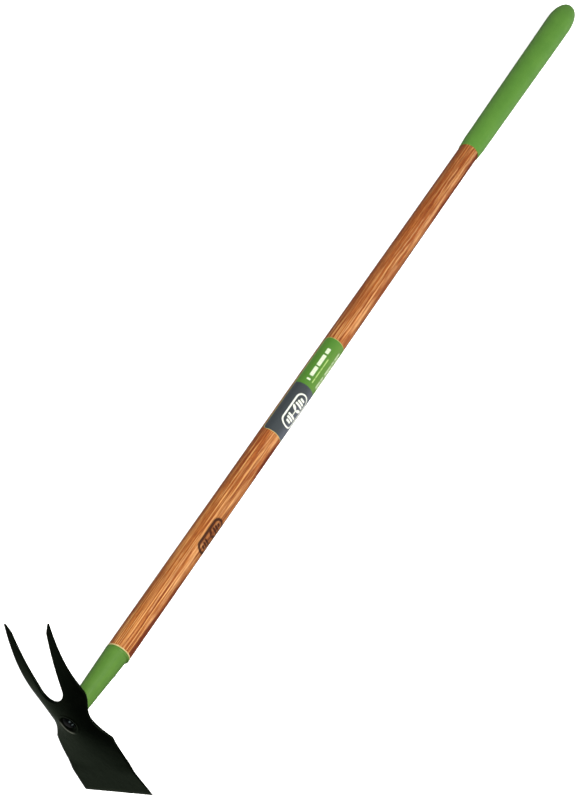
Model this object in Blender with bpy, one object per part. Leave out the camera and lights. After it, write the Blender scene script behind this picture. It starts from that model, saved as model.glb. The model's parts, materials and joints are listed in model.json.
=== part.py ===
"""Two-prong grub hoe: a forged head with a flared blade and two prongs, riveted
on a tang that runs through a tapered steel ferrule into a long wood handle with
a soft grip.

The tool is drawn in its own axes first (metres):
  X along the handle, from the head's eye towards the grip
  Y across the handle in the head's plane of symmetry: +Y the prongs, -Y the blade
  Z across the head, from one side to the other
Then everything hangs under one empty, which lays the tool on its side on the
ground plane Z = 0, as it lies when it is put down: it touches the ground with
a corner of the blade, the side of one prong and the soft grip.
"""
import math

import bmesh
import bpy
from mathutils import Matrix, Vector

MM = 0.001

# ---------------------------------------------------------------- head
BLADE_REACH = 109.7      # eye to cutting edge
PRONG_REACH = 121.6      # eye to prong tips
EDGE_HALF = 57.9         # half the cutting edge's width
SHOULDER_AT = 27.0       # where the blade's shoulders are, from the eye
SHOULDER_HALF = 47.4     # half width there
NECK_AT = -0.5
NECK_HALF = 31.9         # half width of the narrowest place
ROOT_AT = -36.5          # prong roots
ROOT_HALF = 43.9
TIP_HALF = 39.2          # prong tips, from the middle plane
TIP_WIDTH = 2.0
TIP_TAPER = 11.0         # length over which a prong closes to its point
CROTCH_AT = -30.6        # bottom of the gap between the prongs
CROTCH_LONG = 16.0       # the gap's round bottom, half-ellipse
CROTCH_HALF = 18.9
GAP_OPENING = 0.174      # the gap's half width grows by this much per mm

BLADE_SLOPE = 0.070      # the blade leans away from the handle
PRONG_SLOPE = 0.305       # the prongs lean towards it
CLAW = 0.0028            # and curl a little more per mm beyond the bend
BEND_FROM, BEND_TO = -55.0, 12.0
ARCH = 0.0078            # cross curvature of the neck, per mm
ARCH_PRONG, ARCH_BLADE = 58.0, 23.0   # how far the arch reaches each way
PLATE_SET = 2.2          # the plate's middle at the eye, from the origin
FLAT_FROM, FLAT_FULL = 60.0, 78.0   # the blade is dead flat beyond here
NECK_THICK = 4.6
EDGE_THICK = 1.7
TIP_THICK = 2.0
GROUND_EDGE = 5.0        # length of the ground bevel at the cutting edge
GROUND_THICK = 0.7

EYE_HOLE_R = 4.6
DISH_MOUTH_R = 11.9
DISH_FLOOR_R = 9.0
DISH_DEPTH = 3.1

# ---------------------------------------------------------------- tang and rivet end
TANG_R = 4.2
TANG_END = 168.0
WASHER_R, WASHER_T = 8.2, 1.0
PEEN_R, PEEN_H = 7.0, 2.1

# ---------------------------------------------------------------- ferrule
FERRULE_END = 107.3
FERRULE_R = 14.75
FERRULE_SMALL_R = 10.1
FERRULE_OFFSET = 4.2     # the small end's centre lies this far towards the prongs
FERRULE_LEAN = 0.0303    # and comes back by this much per mm
FERRULE_WALL = 1.3
BEAD_R, BEAD_LEN = 15.6, 3.4
PIN_AT = 84.0

# ---------------------------------------------------------------- handle
TENON_START = 26.0
TENON_GAP = 0.35
HANDLE_R = 15.25
HANDLE_TAPER = 0.4       # the handle is this much thinner towards the grip
TAPER_FROM, TAPER_TO = 550.0, 1000.0
HANDLE_END = 1425.0

# ---------------------------------------------------------------- label
LABEL_FROM, LABEL_TO = 472.0, 648.0
LABEL_GAP, LABEL_T = 0.3, 0.35
LABEL_START_DEG = -118.0     # measured from the blade's side towards +Z
LABEL_SPAN_DEG = 318.0

# ---------------------------------------------------------------- grip
GRIP_FROM, GRIP_TO = 1073.9, 1448.6
GRIP_LIP, GRIP_R0, GRIP_R1 = 15.9, 16.9, 19.8
GRIP_TAPER = 24.0        # the lip closes down to the wood over this length
GRIP_GAP = 0.35
GRIP_DOME = 42.0

GAP = 0.3


def smooth(t):
    t = min(1.0, max(0.0, t))
    return t * t * (3.0 - 2.0 * t)


def mix(a, b, t):
    return a + (b - a) * t


# ------------------------------------------------------------------ head shape
def bend_slope(p):
    lean = mix(PRONG_SLOPE, BLADE_SLOPE, smooth((p - BEND_FROM) / (BEND_TO - BEND_FROM)))
    return -(lean + CLAW * max(0.0, BEND_FROM - p))


def centre_line(p, step=1.0):
    """Height of the plate's middle surface on the plane of symmetry, by summing
    the slope from the eye."""
    n = max(1, int(abs(p) / step))
    d = p / n
    return PLATE_SET + sum(bend_slope((k + 0.5) * d) * d for k in range(n))


def arch_at(p):
    if p < 0:
        return ARCH * math.exp(-(p / ARCH_PRONG) ** 2)
    return ARCH / (1.0 + (p / ARCH_BLADE) ** 2) * (1.0 - smooth((p - FLAT_FROM) / (FLAT_FULL - FLAT_FROM)))


def plate_mid(p, h):
    return centre_line(p) + arch_at(p) * h * h


def plate_thick(p):
    if p > 0:
        t = mix(NECK_THICK, EDGE_THICK, min(1.0, p / (BLADE_REACH - GROUND_EDGE)))
        ground = (p - (BLADE_REACH - GROUND_EDGE)) / GROUND_EDGE
        return mix(t, GROUND_THICK, max(0.0, ground))
    return mix(NECK_THICK, TIP_THICK, smooth(-p / PRONG_REACH))


def plate_normal(p, h):
    e = 0.25
    dp = (plate_mid(p + e, h) - plate_mid(p - e, h)) / (2 * e)
    dh = (plate_mid(p, h + e) - plate_mid(p, h - e)) / (2 * e)
    return Vector((1.0, dp, -dh)).normalized()


def plate_point(p, h, side, extra=0.0):
    """side -1 is the face away from the handle, +1 the face towards it."""
    n = plate_normal(p, h)
    off = side * (plate_thick(p) / 2.0 + extra)
    return Vector((plate_mid(p, h) + n.x * off, -p + n.y * off, h + n.z * off))


def outer_half(p):
    """Half width of the head's outline: blade sides, shoulders, neck, prongs."""
    if p >= SHOULDER_AT:
        return mix(SHOULDER_HALF, EDGE_HALF, (p - SHOULDER_AT) / (BLADE_REACH - SHOULDER_AT))
    if p >= NECK_AT:
        t = (p - NECK_AT) / (SHOULDER_AT - NECK_AT)
        return mix(NECK_HALF, SHOULDER_HALF, 0.15 * smooth(t) + 0.85 * t * t)
    if p >= ROOT_AT:
        return mix(ROOT_HALF, NECK_HALF, smooth((p - ROOT_AT) / (NECK_AT - ROOT_AT)))
    return mix(TIP_HALF, ROOT_HALF, (p + PRONG_REACH) / (ROOT_AT + PRONG_REACH))


def inner_half(p):
    """Half width of the gap between the prongs."""
    if p >= CROTCH_AT:
        return 0.0
    bottom = CROTCH_AT - CROTCH_LONG
    if p > bottom:
        s = (p - bottom) / CROTCH_LONG
        return CROTCH_HALF * math.sqrt(max(0.0, 1.0 - s * s))
    h = CROTCH_HALF + GAP_OPENING * (bottom - p)
    close = (-p - (PRONG_REACH - TIP_TAPER)) / TIP_TAPER
    if close > 0:
        h = mix(h, TIP_HALF - TIP_WIDTH, close ** 1.5)
    return h


def head_rows():
    rows = []
    n = 5
    for k in range(n):                                    # closing tips
        rows.append(-PRONG_REACH + TIP_TAPER * k / n)
    a, b = -PRONG_REACH + TIP_TAPER, CROTCH_AT - CROTCH_LONG
    n = 7
    for k in range(n):                                    # straight prongs
        rows.append(mix(a, b, k / n))
    n = 8
    for k in range(n + 1):                                # round bottom of the gap
        rows.append(b + CROTCH_LONG * math.sin(math.pi / 2 * k / n))
    n = 9
    for k in range(1, n):                                 # neck
        rows.append(mix(CROTCH_AT, SHOULDER_AT, k / n))
    n = 6
    for k in range(n):                                    # shoulders to flat blade
        rows.append(mix(SHOULDER_AT, FLAT_FULL, k / n))
    rows += [FLAT_FULL, BLADE_REACH - GROUND_EDGE, BLADE_REACH]
    return rows


# ------------------------------------------------------------------ mesh helpers
def material(name, colour, rough, metal):
    m = bpy.data.materials.new(name)
    m.use_nodes = True
    s = m.node_tree.nodes["Principled BSDF"]
    s.inputs["Base Color"].default_value = (*colour, 1.0)
    s.inputs["Roughness"].default_value = rough
    s.inputs["Metallic"].default_value = metal
    m.diffuse_color = (*colour, 1.0)
    return m


def finish(name, bm, mat, parent, sharp=35.0):
    bmesh.ops.recalc_face_normals(bm, faces=bm.faces)
    if bm.calc_volume(signed=True) < 0:
        bmesh.ops.reverse_faces(bm, faces=bm.faces)
    me = bpy.data.meshes.new(name)
    bm.to_mesh(me)
    bm.free()
    me.materials.append(mat)
    me.shade_smooth()
    me.set_sharp_from_angle(angle=math.radians(sharp))
    ob = bpy.data.objects.new(name, me)
    bpy.context.scene.collection.objects.link(ob)
    ob.parent = parent
    return ob


def boolean(ob, cutter, op="DIFFERENCE"):
    m = ob.modifiers.new(op.lower() + "_" + cutter.name, "BOOLEAN")
    m.operation = op
    m.solver = "EXACT"
    m.object = cutter
    cutter.hide_render = True
    cutter.display_type = "WIRE"
    return ob


def ring(bm, x, r, seg, cy=0.0, cz=0.0):
    return [bm.verts.new(((x) * MM,
                          (cy + r * math.cos(2 * math.pi * k / seg)) * MM,
                          (cz + r * math.sin(2 * math.pi * k / seg)) * MM)) for k in range(seg)]


def skin(bm, a, b):
    n = len(a)
    for k in range(n):
        bm.faces.new((a[k], a[(k + 1) % n], b[(k + 1) % n], b[k]))


def turned(name, profile, seg, mat, parent, centre=None, closed_loop=False):
    """Solid turned about the X axis from (x, r) pairs. An open profile gets flat
    end caps; a closed loop makes a tube. centre(x) gives the centre's y."""
    bm = bmesh.new()
    rings = [ring(bm, x, r, seg, centre(x) if centre else 0.0) for x, r in profile]
    for a, b in zip(rings, rings[1:]):
        skin(bm, a, b)
    if closed_loop:
        skin(bm, rings[-1], rings[0])
    else:
        bm.faces.new(rings[0])
        bm.faces.new(rings[-1])
    return finish(name, bm, mat, parent)


# ------------------------------------------------------------------ pieces
def make_head(mat, parent):
    bm = bmesh.new()
    cols = 7
    front, back = [], []
    rows = head_rows()
    for p in rows:
        hi, ho = inner_half(p), outer_half(p)
        line = {}
        for side_name, s in (("L", -1), ("R", 1)):
            for k in range(cols + 1):
                h = s * mix(hi, ho, k / cols)
                if k == 0 and hi == 0.0 and s > 0:
                    line[("R", 0)] = line[("L", 0)]
                    continue
                line[(side_name, k)] = tuple(
                    bm.verts.new(plate_point(p, h, side) * MM) for side in (-1, 1))
        front.append({k: v[0] for k, v in line.items()})
        back.append({k: v[1] for k, v in line.items()})
    for j in range(len(rows) - 1):
        for sheet in (front, back):
            a, b = sheet[j], sheet[j + 1]
            for s in "LR":
                for k in range(cols):
                    bm.faces.new((a[(s, k)], a[(s, k + 1)], b[(s, k + 1)], b[(s, k)]))
        for s in "LR":
            bm.faces.new((front[j][(s, cols)], back[j][(s, cols)], back[j + 1][(s, cols)], front[j + 1][(s, cols)]))
            if inner_half(rows[j]) > 0:
                bm.faces.new((front[j][(s, 0)], back[j][(s, 0)], back[j + 1][(s, 0)], front[j + 1][(s, 0)]))
    for j in (0, len(rows) - 1):
        for s in "LR":
            for k in range(cols):
                bm.faces.new((front[j][(s, k)], front[j][(s, k + 1)], back[j][(s, k + 1)], back[j][(s, k)]))
    return finish("hoe_head", bm, mat, parent, 40.0)


def ferrule_centre(x):
    """The ferrule's axis leans: its small end sits towards the prongs."""
    return FERRULE_OFFSET - FERRULE_LEAN * min(x, FERRULE_END)


def ferrule_radius(x):
    return mix(FERRULE_SMALL_R, FERRULE_R, min(1.0, x / FERRULE_END))


def ferrule_start(theta, inset):
    """Where the ferrule's wall meets the back of the arched plate."""
    x = 4.0
    for _ in range(6):
        r = ferrule_radius(x) - inset
        y = ferrule_centre(x) + r * math.cos(theta)
        z = r * math.sin(theta)
        n = plate_normal(-y, z)
        x = plate_mid(-y, z) + (plate_thick(-y) / 2.0 + GAP + 0.1) / n.x
    return x


def make_ferrule(mat, parent):
    seg = 40
    bm = bmesh.new()
    outer = [12.0, 30.0, 55.0, 80.0, FERRULE_END - BEAD_LEN - 0.6]
    loop = []
    for inset in (0.0,):
        first = []
        for k in range(seg):
            th = 2 * math.pi * k / seg
            x = ferrule_start(th, 0.0)
            r = ferrule_radius(x)
            first.append(bm.verts.new((x * MM, (ferrule_centre(x) + r * math.cos(th)) * MM, r * math.sin(th) * MM)))
        loop.append(first)
    # rings leave the fish-mouthed end gradually
    for x0 in outer:
        line = []
        for k in range(seg):
            th = 2 * math.pi * k / seg
            x = max(x0, ferrule_start(th, 0.0) + 3.0)
            r = ferrule_radius(x)
            line.append(bm.verts.new((x * MM, (ferrule_centre(x) + r * math.cos(th)) * MM, r * math.sin(th) * MM)))
        loop.append(line)
    n = 5
    for k in range(n + 1):                       # rolled bead
        a = math.pi * k / n
        x = FERRULE_END - BEAD_LEN / 2 - BEAD_LEN / 2 * math.cos(a)
        r = FERRULE_R + (BEAD_R - FERRULE_R) * math.sin(a)
        lift = math.sin(a)                       # and squared up with the wood
        loop.append(ring(bm, x, r, seg, ferrule_centre(x) * (1.0 - lift)))
    inner = [FERRULE_END - 0.01, 80.0, 55.0, 30.0, 12.0]
    for x0 in inner:
        line = []
        for k in range(seg):
            th = 2 * math.pi * k / seg
            x = max(x0, ferrule_start(th, FERRULE_WALL) + 3.0) if x0 < 50 else x0
            r = ferrule_radius(x) - FERRULE_WALL
            line.append(bm.verts.new((x * MM, (ferrule_centre(x) + r * math.cos(th)) * MM, r * math.sin(th) * MM)))
        loop.append(line)
    last = []
    for k in range(seg):
        th = 2 * math.pi * k / seg
        x = ferrule_start(th, FERRULE_WALL)
        r = ferrule_radius(x) - FERRULE_WALL
        last.append(bm.verts.new((x * MM, (ferrule_centre(x) + r * math.cos(th)) * MM, r * math.sin(th) * MM)))
    loop.append(last)
    for a, b in zip(loop, loop[1:]):
        skin(bm, a, b)
    skin(bm, loop[-1], loop[0])
    return finish("ferrule", bm, mat, parent)


def handle_radius(x):
    return HANDLE_R - HANDLE_TAPER * smooth((x - TAPER_FROM) / (TAPER_TO - TAPER_FROM))


def make_handle(mat, parent):
    seg = 40
    inner = FERRULE_WALL + TENON_GAP
    prof = [(TENON_START, ferrule_radius(TENON_START) - inner - 2.0, 1),
            (TENON_START + 2.5, ferrule_radius(TENON_START + 2.5) - inner, 1),
            (60.0, ferrule_radius(60.0) - inner, 1),
            (FERRULE_END + 0.1, ferrule_radius(FERRULE_END) - inner, 1),
            (FERRULE_END + 1.8, ferrule_radius(FERRULE_END) - inner, 1),
            (FERRULE_END + 1.9, HANDLE_R - 0.25, 0),
            (FERRULE_END + 2.6, HANDLE_R, 0)]
    n = 12
    for k in range(1, n + 1):
        x = mix(FERRULE_END + 2.6, HANDLE_END - 3.0, k / n)
        prof.append((x, handle_radius(x), 0))
    prof.append((HANDLE_END, handle_radius(HANDLE_END) - 2.5, 0))
    bm = bmesh.new()
    rings = [ring(bm, x, r, seg, ferrule_centre(x) if lean else 0.0) for x, r, lean in prof]
    for a, b in zip(rings, rings[1:]):
        skin(bm, a, b)
    bm.faces.new(rings[0])
    bm.faces.new(rings[-1])
    return finish("wood_handle", bm, mat, parent)


def grip_radius(x):
    t = (x - GRIP_FROM - GRIP_TAPER) / (GRIP_TO - GRIP_DOME - GRIP_FROM - GRIP_TAPER)
    if t < 0:
        return mix(GRIP_LIP, GRIP_R0, smooth((x - GRIP_FROM) / GRIP_TAPER))
    return mix(GRIP_R0, GRIP_R1, t)


def make_grip(mat, parent):
    prof = [(GRIP_FROM, handle_radius(GRIP_FROM) + GRIP_GAP + 0.35),
            (GRIP_FROM + 0.6, GRIP_LIP - 0.1)]
    for k in range(1, 5):
        x = GRIP_FROM + GRIP_TAPER * k / 4
        prof.append((x, grip_radius(x)))
    n = 7
    for k in range(1, n + 1):
        x = mix(GRIP_FROM + GRIP_TAPER, GRIP_TO - GRIP_DOME, k / n)
        prof.append((x, grip_radius(x)))
    r1 = grip_radius(GRIP_TO - GRIP_DOME)
    flat = 5.0
    n = 9
    for k in range(1, n + 1):
        a = math.pi / 2 * k / n
        prof.append((GRIP_TO - GRIP_DOME + GRIP_DOME * math.sin(a), flat + (r1 - flat) * math.cos(a)))
    prof.append((GRIP_TO, 0.01))
    bm = bmesh.new()
    seg = 40
    outer = [ring(bm, x, r, seg) for x, r in prof[:-1]]
    end = HANDLE_END + 0.6
    bore = [(GRIP_FROM, handle_radius(GRIP_FROM) + GRIP_GAP), ]
    n = 6
    for k in range(1, n + 1):
        x = mix(GRIP_FROM, end, k / n)
        bore.append((x, handle_radius(x) + GRIP_GAP))
    inner = [ring(bm, x, r, seg) for x, r in bore]
    for a, b in zip(outer, outer[1:]):
        skin(bm, a, b)
    for a, b in zip(inner, inner[1:]):
        skin(bm, a, b)
    skin(bm, outer[0], inner[0])
    bm.faces.new(outer[-1])
    bm.faces.new(inner[-1])
    return finish("cushion_grip", bm, mat, parent)


def make_label(mat, parent):
    bm = bmesh.new()
    steps_x, steps_a = 6, 40
    sheets = []
    for out in (0.0, LABEL_T):
        grid = []
        for i in range(steps_x + 1):
            x = mix(LABEL_FROM, LABEL_TO, i / steps_x)
            r = handle_radius(x) + LABEL_GAP + out
            line = []
            for k in range(steps_a + 1):
                a = math.radians(LABEL_START_DEG + LABEL_SPAN_DEG * k / steps_a)
                line.append(bm.verts.new((x * MM, -r * math.cos(a) * MM, r * math.sin(a) * MM)))
            grid.append(line)
        sheets.append(grid)
    lo, hi = sheets
    for g in (lo, hi):
        for i in range(steps_x):
            for k in range(steps_a):
                bm.faces.new((g[i][k], g[i + 1][k], g[i + 1][k + 1], g[i][k + 1]))
    for i in range(steps_x):
        for k in (0, steps_a):
            bm.faces.new((lo[i][k], lo[i + 1][k], hi[i + 1][k], hi[i][k]))
    for k in range(steps_a):
        for i in (0, steps_x):
            bm.faces.new((lo[i][k], lo[i][k + 1], hi[i][k + 1], hi[i][k]))
    return finish("handle_label", bm, mat, parent)


def cutter_turned(name, profile, seg, parent):
    ob = turned(name, profile, seg, bpy.data.materials["guide"], parent)
    ob.hide_render = True
    ob.display_type = "WIRE"
    return ob


def radial_pin(name, x, profile, seg, mat, parent):
    """Turned about a line square to the ferrule on the blade's side (-Y)."""
    bm = bmesh.new()
    rings = []
    for d, r in profile:
        rings.append([bm.verts.new(((x + r * math.cos(2 * math.pi * k / seg)) * MM, -d * MM,
                                    r * math.sin(2 * math.pi * k / seg) * MM)) for k in range(seg)])
    for a, b in zip(rings, rings[1:]):
        skin(bm, a, b)
    bm.faces.new(rings[0])
    bm.faces.new(rings[-1])
    return finish(name, bm, mat, parent)


# ------------------------------------------------------------------ lying pose
def lying_matrix(points):
    """Turn that lays the tool on the plane through its three lowest contacts:
    the blade, a prong and the grip, all on the -Z side."""
    groups = [[v for v in points if v.x < 0.2 and v.y < 0],
              [v for v in points if v.x < 0.2 and v.y >= 0],
              [v for v in points if v.x >= 0.2]]
    n = Vector((0, 0, 1))
    for _ in range(12):
        a, b, c = (min(g, key=lambda v: v.dot(n)) for g in groups)
        n = (b - a).cross(c - a).normalized()
        if n.z < 0:
            n = -n
    x = Vector((1, 0, 0))
    x = (x - n * x.dot(n)).normalized()
    y = n.cross(x)
    return Matrix((x, y, n)).to_4x4()


def main():
    for ob in list(bpy.data.objects):
        bpy.data.objects.remove(ob, do_unlink=True)
    lay = bpy.data.objects.new("lying_pose", None)
    bpy.context.scene.collection.objects.link(lay)

    black = material("black_paint", (0.016, 0.018, 0.016), 0.38, 0.0)
    steel = material("dark_steel", (0.05, 0.05, 0.048), 0.42, 0.9)
    green = material("green_paint", (0.105, 0.32, 0.045), 0.35, 0.0)
    wood = material("stained_wood", (0.42, 0.16, 0.06), 0.42, 0.0)
    glue = material("cured_glue", (0.72, 0.62, 0.42), 0.5, 0.0)
    film = material("label_film", (0.12, 0.25, 0.08), 0.3, 0.0)
    foam = material("green_grip", (0.11, 0.34, 0.05), 0.6, 0.0)
    pin = material("zinc", (0.5, 0.5, 0.48), 0.4, 0.9)
    material("guide", (1, 0, 0), 0.5, 0.0)

    head = make_head(black, lay)
    face_x = PLATE_SET - plate_thick(0.0) / 2.0
    floor_x = face_x + DISH_DEPTH
    dish = cutter_turned("dish_cutter", [(floor_x, DISH_FLOOR_R - 1.2), (floor_x - 0.45, DISH_FLOOR_R - 0.3),
                                         (floor_x - 1.2, DISH_FLOOR_R + 0.5),
                                         (face_x, DISH_MOUTH_R),
                                         (face_x - 6.0, DISH_MOUTH_R + 5.0)], 36, lay)
    hole = cutter_turned("eye_cutter", [(-12.0, EYE_HOLE_R), (14.0, EYE_HOLE_R)], 28, lay)
    boolean(head, dish)
    boolean(head, hole)

    wash_x = floor_x - GAP
    turned("rivet_washer", [(wash_x - WASHER_T, TANG_R + GAP), (wash_x - WASHER_T, WASHER_R - 0.2),
                            (wash_x - WASHER_T + 0.2, WASHER_R), (wash_x, WASHER_R), (wash_x, TANG_R + GAP)],
           28, steel, lay, closed_loop=True)

    peen_x = wash_x - WASHER_T - GAP
    prof = [(peen_x - PEEN_H, 1.5)]
    n = 4
    for k in range(1, n + 1):
        a = math.pi / 2 * k / n
        prof.append((peen_x - PEEN_H * math.cos(a), 1.5 + (PEEN_R - 1.5) * math.sin(a)))
    prof += [(peen_x + 0.01, TANG_R), (TANG_END - 60.0, TANG_R), (TANG_END - 6.0, 2.4), (TANG_END, 0.6)]
    turned("tang", prof, 28, steel, lay)

    ferrule = make_ferrule(green, lay)
    handle = make_handle(wood, lay)
    bore = cutter_turned("tang_bore_cutter", [(TENON_START - 4.0, TANG_R + GAP), (TANG_END - 59.0, TANG_R + GAP),
                                              (TANG_END + 2.0, 2.9)], 28, lay)
    boolean(handle, bore)

    r_pin = ferrule_radius(PIN_AT)
    reach = r_pin - ferrule_centre(PIN_AT)
    radial_pin("ferrule_pin", PIN_AT, [(reach - 6.6, 0.9), (reach - 5.4, 1.5), (reach + 0.28, 1.5),
                                       (reach + 0.30, 3.6), (reach + 0.9, 3.3), (reach + 1.5, 2.0)], 20, pin, lay)
    pin_hole = radial_pin("pin_cutter", PIN_AT, [(reach - 7.1, 1.8), (reach + 6.0, 1.8)], 20,
                          bpy.data.materials["guide"], lay)
    boolean(ferrule, pin_hole)
    boolean(handle, pin_hole)

    r_in = ferrule_radius(FERRULE_END) - FERRULE_WALL - TENON_GAP + ferrule_centre(FERRULE_END) + GAP
    turned("glue_bead", [(FERRULE_END + 0.3, r_in), (FERRULE_END + 1.5, r_in),
                         (FERRULE_END + 1.5, HANDLE_R - 0.1), (FERRULE_END + 0.9, HANDLE_R + 0.25),
                         (FERRULE_END + 0.3, HANDLE_R + 0.1)], 40, glue, lay, closed_loop=True)

    make_label(film, lay)
    make_grip(foam, lay)

    points = []
    for ob in bpy.data.objects:
        if ob.type == "MESH" and not ob.hide_render:
            points += [v.co.copy() for v in ob.data.vertices]
    turn = lying_matrix(points)
    lay.matrix_world = turn
    laid = [turn @ v for v in points]
    lo = Vector([min(v[i] for v in laid) for i in range(3)])
    hi = Vector([max(v[i] for v in laid) for i in range(3)])
    lay.location = Vector((-(lo.x + hi.x) / 2, -(lo.y + hi.y) / 2, -lo.z))
    bpy.context.view_layer.update()


main()
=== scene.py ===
"""Looks of the two-prong grub hoe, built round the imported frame."""
import json
import math

import bmesh
import bpy
import numpy as np
from mathutils import Matrix, Vector, noise


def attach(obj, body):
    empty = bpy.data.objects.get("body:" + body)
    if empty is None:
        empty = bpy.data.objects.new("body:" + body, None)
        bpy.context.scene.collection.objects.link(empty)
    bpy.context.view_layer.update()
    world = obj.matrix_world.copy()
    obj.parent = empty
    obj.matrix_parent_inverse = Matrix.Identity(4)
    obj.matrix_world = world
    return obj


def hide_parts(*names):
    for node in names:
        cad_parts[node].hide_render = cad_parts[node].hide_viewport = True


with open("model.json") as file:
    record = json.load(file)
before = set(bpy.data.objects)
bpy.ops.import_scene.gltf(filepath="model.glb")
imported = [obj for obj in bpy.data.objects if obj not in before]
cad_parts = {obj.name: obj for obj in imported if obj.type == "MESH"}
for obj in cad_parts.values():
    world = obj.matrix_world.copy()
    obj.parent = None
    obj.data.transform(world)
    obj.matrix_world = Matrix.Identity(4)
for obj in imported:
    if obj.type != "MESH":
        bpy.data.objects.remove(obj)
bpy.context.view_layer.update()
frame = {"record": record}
MM = 0.001

# ------------------------------------------------------------------ dimensions (mm), as the CAD has them
BLADE_REACH, PRONG_REACH = 109.7, 121.6
EDGE_HALF = 57.9
SHOULDER_AT, SHOULDER_HALF = 27.0, 47.4
NECK_AT, NECK_HALF = -0.5, 31.9
ROOT_AT, ROOT_HALF = -36.5, 43.9
TIP_HALF, TIP_WIDTH, TIP_TAPER = 39.2, 2.0, 11.0
CROTCH_AT, CROTCH_LONG, CROTCH_HALF, GAP_OPENING = -30.6, 16.0, 18.9, 0.174
BLADE_SLOPE, PRONG_SLOPE, CLAW = 0.070, 0.305, 0.0028
BEND_FROM, BEND_TO = -55.0, 12.0
ARCH, ARCH_PRONG, ARCH_BLADE, PLATE_SET = 0.0078, 58.0, 23.0, 2.2
FLAT_FROM, FLAT_FULL = 60.0, 78.0
NECK_THICK, EDGE_THICK, TIP_THICK = 4.6, 1.7, 2.0
GROUND_EDGE, GROUND_THICK = 5.0, 0.7
EYE_HOLE_R, DISH_MOUTH_R, DISH_FLOOR_R, DISH_DEPTH = 4.6, 11.9, 9.0, 3.1
TANG_R, TANG_END = 4.2, 168.0
WASHER_R, WASHER_T, PEEN_R, PEEN_H = 8.2, 1.0, 7.0, 2.1
FERRULE_END, FERRULE_R, FERRULE_SMALL_R = 107.3, 14.75, 10.1
FERRULE_OFFSET, FERRULE_LEAN, FERRULE_WALL = 4.2, 0.0303, 1.3
BEAD_R, BEAD_LEN, PIN_AT = 15.6, 3.4, 84.0
TENON_START, TENON_GAP = 26.0, 0.35
HANDLE_R, HANDLE_TAPER, TAPER_FROM, TAPER_TO, HANDLE_END = 15.25, 0.4, 550.0, 1000.0, 1425.0
LABEL_FROM, LABEL_TO = 472.0, 648.0
LABEL_A0, LABEL_A1 = -118.0, 185.0
BORDER_AT = 560.0        # where the label turns from grey to green
GRIP_FROM, GRIP_TO = 1073.9, 1448.6
GRIP_LIP, GRIP_R0, GRIP_R1, GRIP_TAPER, GRIP_GAP, GRIP_DOME = 15.9, 16.9, 19.8, 24.0, 0.35, 42.0
GAP = 0.3
FACING = 123.2        # the angle round the handle, from the blade's side, that faces the camera

# ------------------------------------------------------------------ the tool's own axes, from the record
mounts = {m["name"]: m for m in frame["record"]["mounts"]}
ax = Vector(mounts["grip_end"]["axis"]).normalized()
origin = Vector(mounts["grip_end"]["pos_m"]) - ax * GRIP_TO * MM
reach = Vector(mounts["blade_front_face"]["pos_m"]) - origin
ay = -(reach - ax * reach.dot(ax)).normalized()
az = ax.cross(ay)
LAY = Matrix(((ax.x, ay.x, az.x, origin.x), (ax.y, ay.y, az.y, origin.y), (ax.z, ay.z, az.z, origin.z), (0, 0, 0, 1)))


def smooth(t):
    t = min(1.0, max(0.0, t))
    return t * t * (3.0 - 2.0 * t)


def mix(a, b, t):
    return a + (b - a) * t


# ------------------------------------------------------------------ head shape
def bend_slope(p):
    lean = mix(PRONG_SLOPE, BLADE_SLOPE, smooth((p - BEND_FROM) / (BEND_TO - BEND_FROM)))
    return -(lean + CLAW * max(0.0, BEND_FROM - p))


_centre = {}


def _build_centre():
    step = 0.25
    for sign in (1, -1):
        s, x = PLATE_SET, 0.0
        _centre[0] = s
        for k in range(int(140 / step)):
            s += bend_slope(sign * (x + step / 2)) * step * sign
            x += step
            _centre[sign * (k + 1)] = s


_build_centre()


def centre_line(p):
    f = p / 0.25
    k = math.floor(f)
    return mix(_centre[k], _centre[k + 1], f - k)


def arch_at(p):
    if p < 0:
        return ARCH * math.exp(-(p / ARCH_PRONG) ** 2)
    return ARCH / (1.0 + (p / ARCH_BLADE) ** 2) * (1.0 - smooth((p - FLAT_FROM) / (FLAT_FULL - FLAT_FROM)))


def plate_mid(p, h):
    return centre_line(p) + arch_at(p) * h * h


def plate_thick(p):
    if p > 0:
        t = mix(NECK_THICK, EDGE_THICK, min(1.0, p / (BLADE_REACH - GROUND_EDGE)))
        return mix(t, GROUND_THICK, max(0.0, (p - (BLADE_REACH - GROUND_EDGE)) / GROUND_EDGE))
    return mix(NECK_THICK, TIP_THICK, smooth(-p / PRONG_REACH))


def plate_normal(p, h):
    e = 0.5
    dp = (plate_mid(p + e, h) - plate_mid(p - e, h)) / (2 * e)
    dh = (plate_mid(p, h + e) - plate_mid(p, h - e)) / (2 * e)
    return Vector((1.0, dp, -dh)).normalized()


def plate_point(p, h, side, half=None, extra=0.0):
    n = plate_normal(p, h)
    off = side * ((plate_thick(p) / 2.0 if half is None else half) + extra)
    return Vector((plate_mid(p, h) + n.x * off, -p + n.y * off, h + n.z * off))


def outer_half(p):
    if p >= SHOULDER_AT:
        return mix(SHOULDER_HALF, EDGE_HALF, (p - SHOULDER_AT) / (BLADE_REACH - SHOULDER_AT))
    if p >= NECK_AT:
        t = (p - NECK_AT) / (SHOULDER_AT - NECK_AT)
        return mix(NECK_HALF, SHOULDER_HALF, 0.15 * smooth(t) + 0.85 * t * t)
    if p >= ROOT_AT:
        return mix(ROOT_HALF, NECK_HALF, smooth((p - ROOT_AT) / (NECK_AT - ROOT_AT)))
    return mix(TIP_HALF, ROOT_HALF, (p + PRONG_REACH) / (ROOT_AT + PRONG_REACH))


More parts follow.
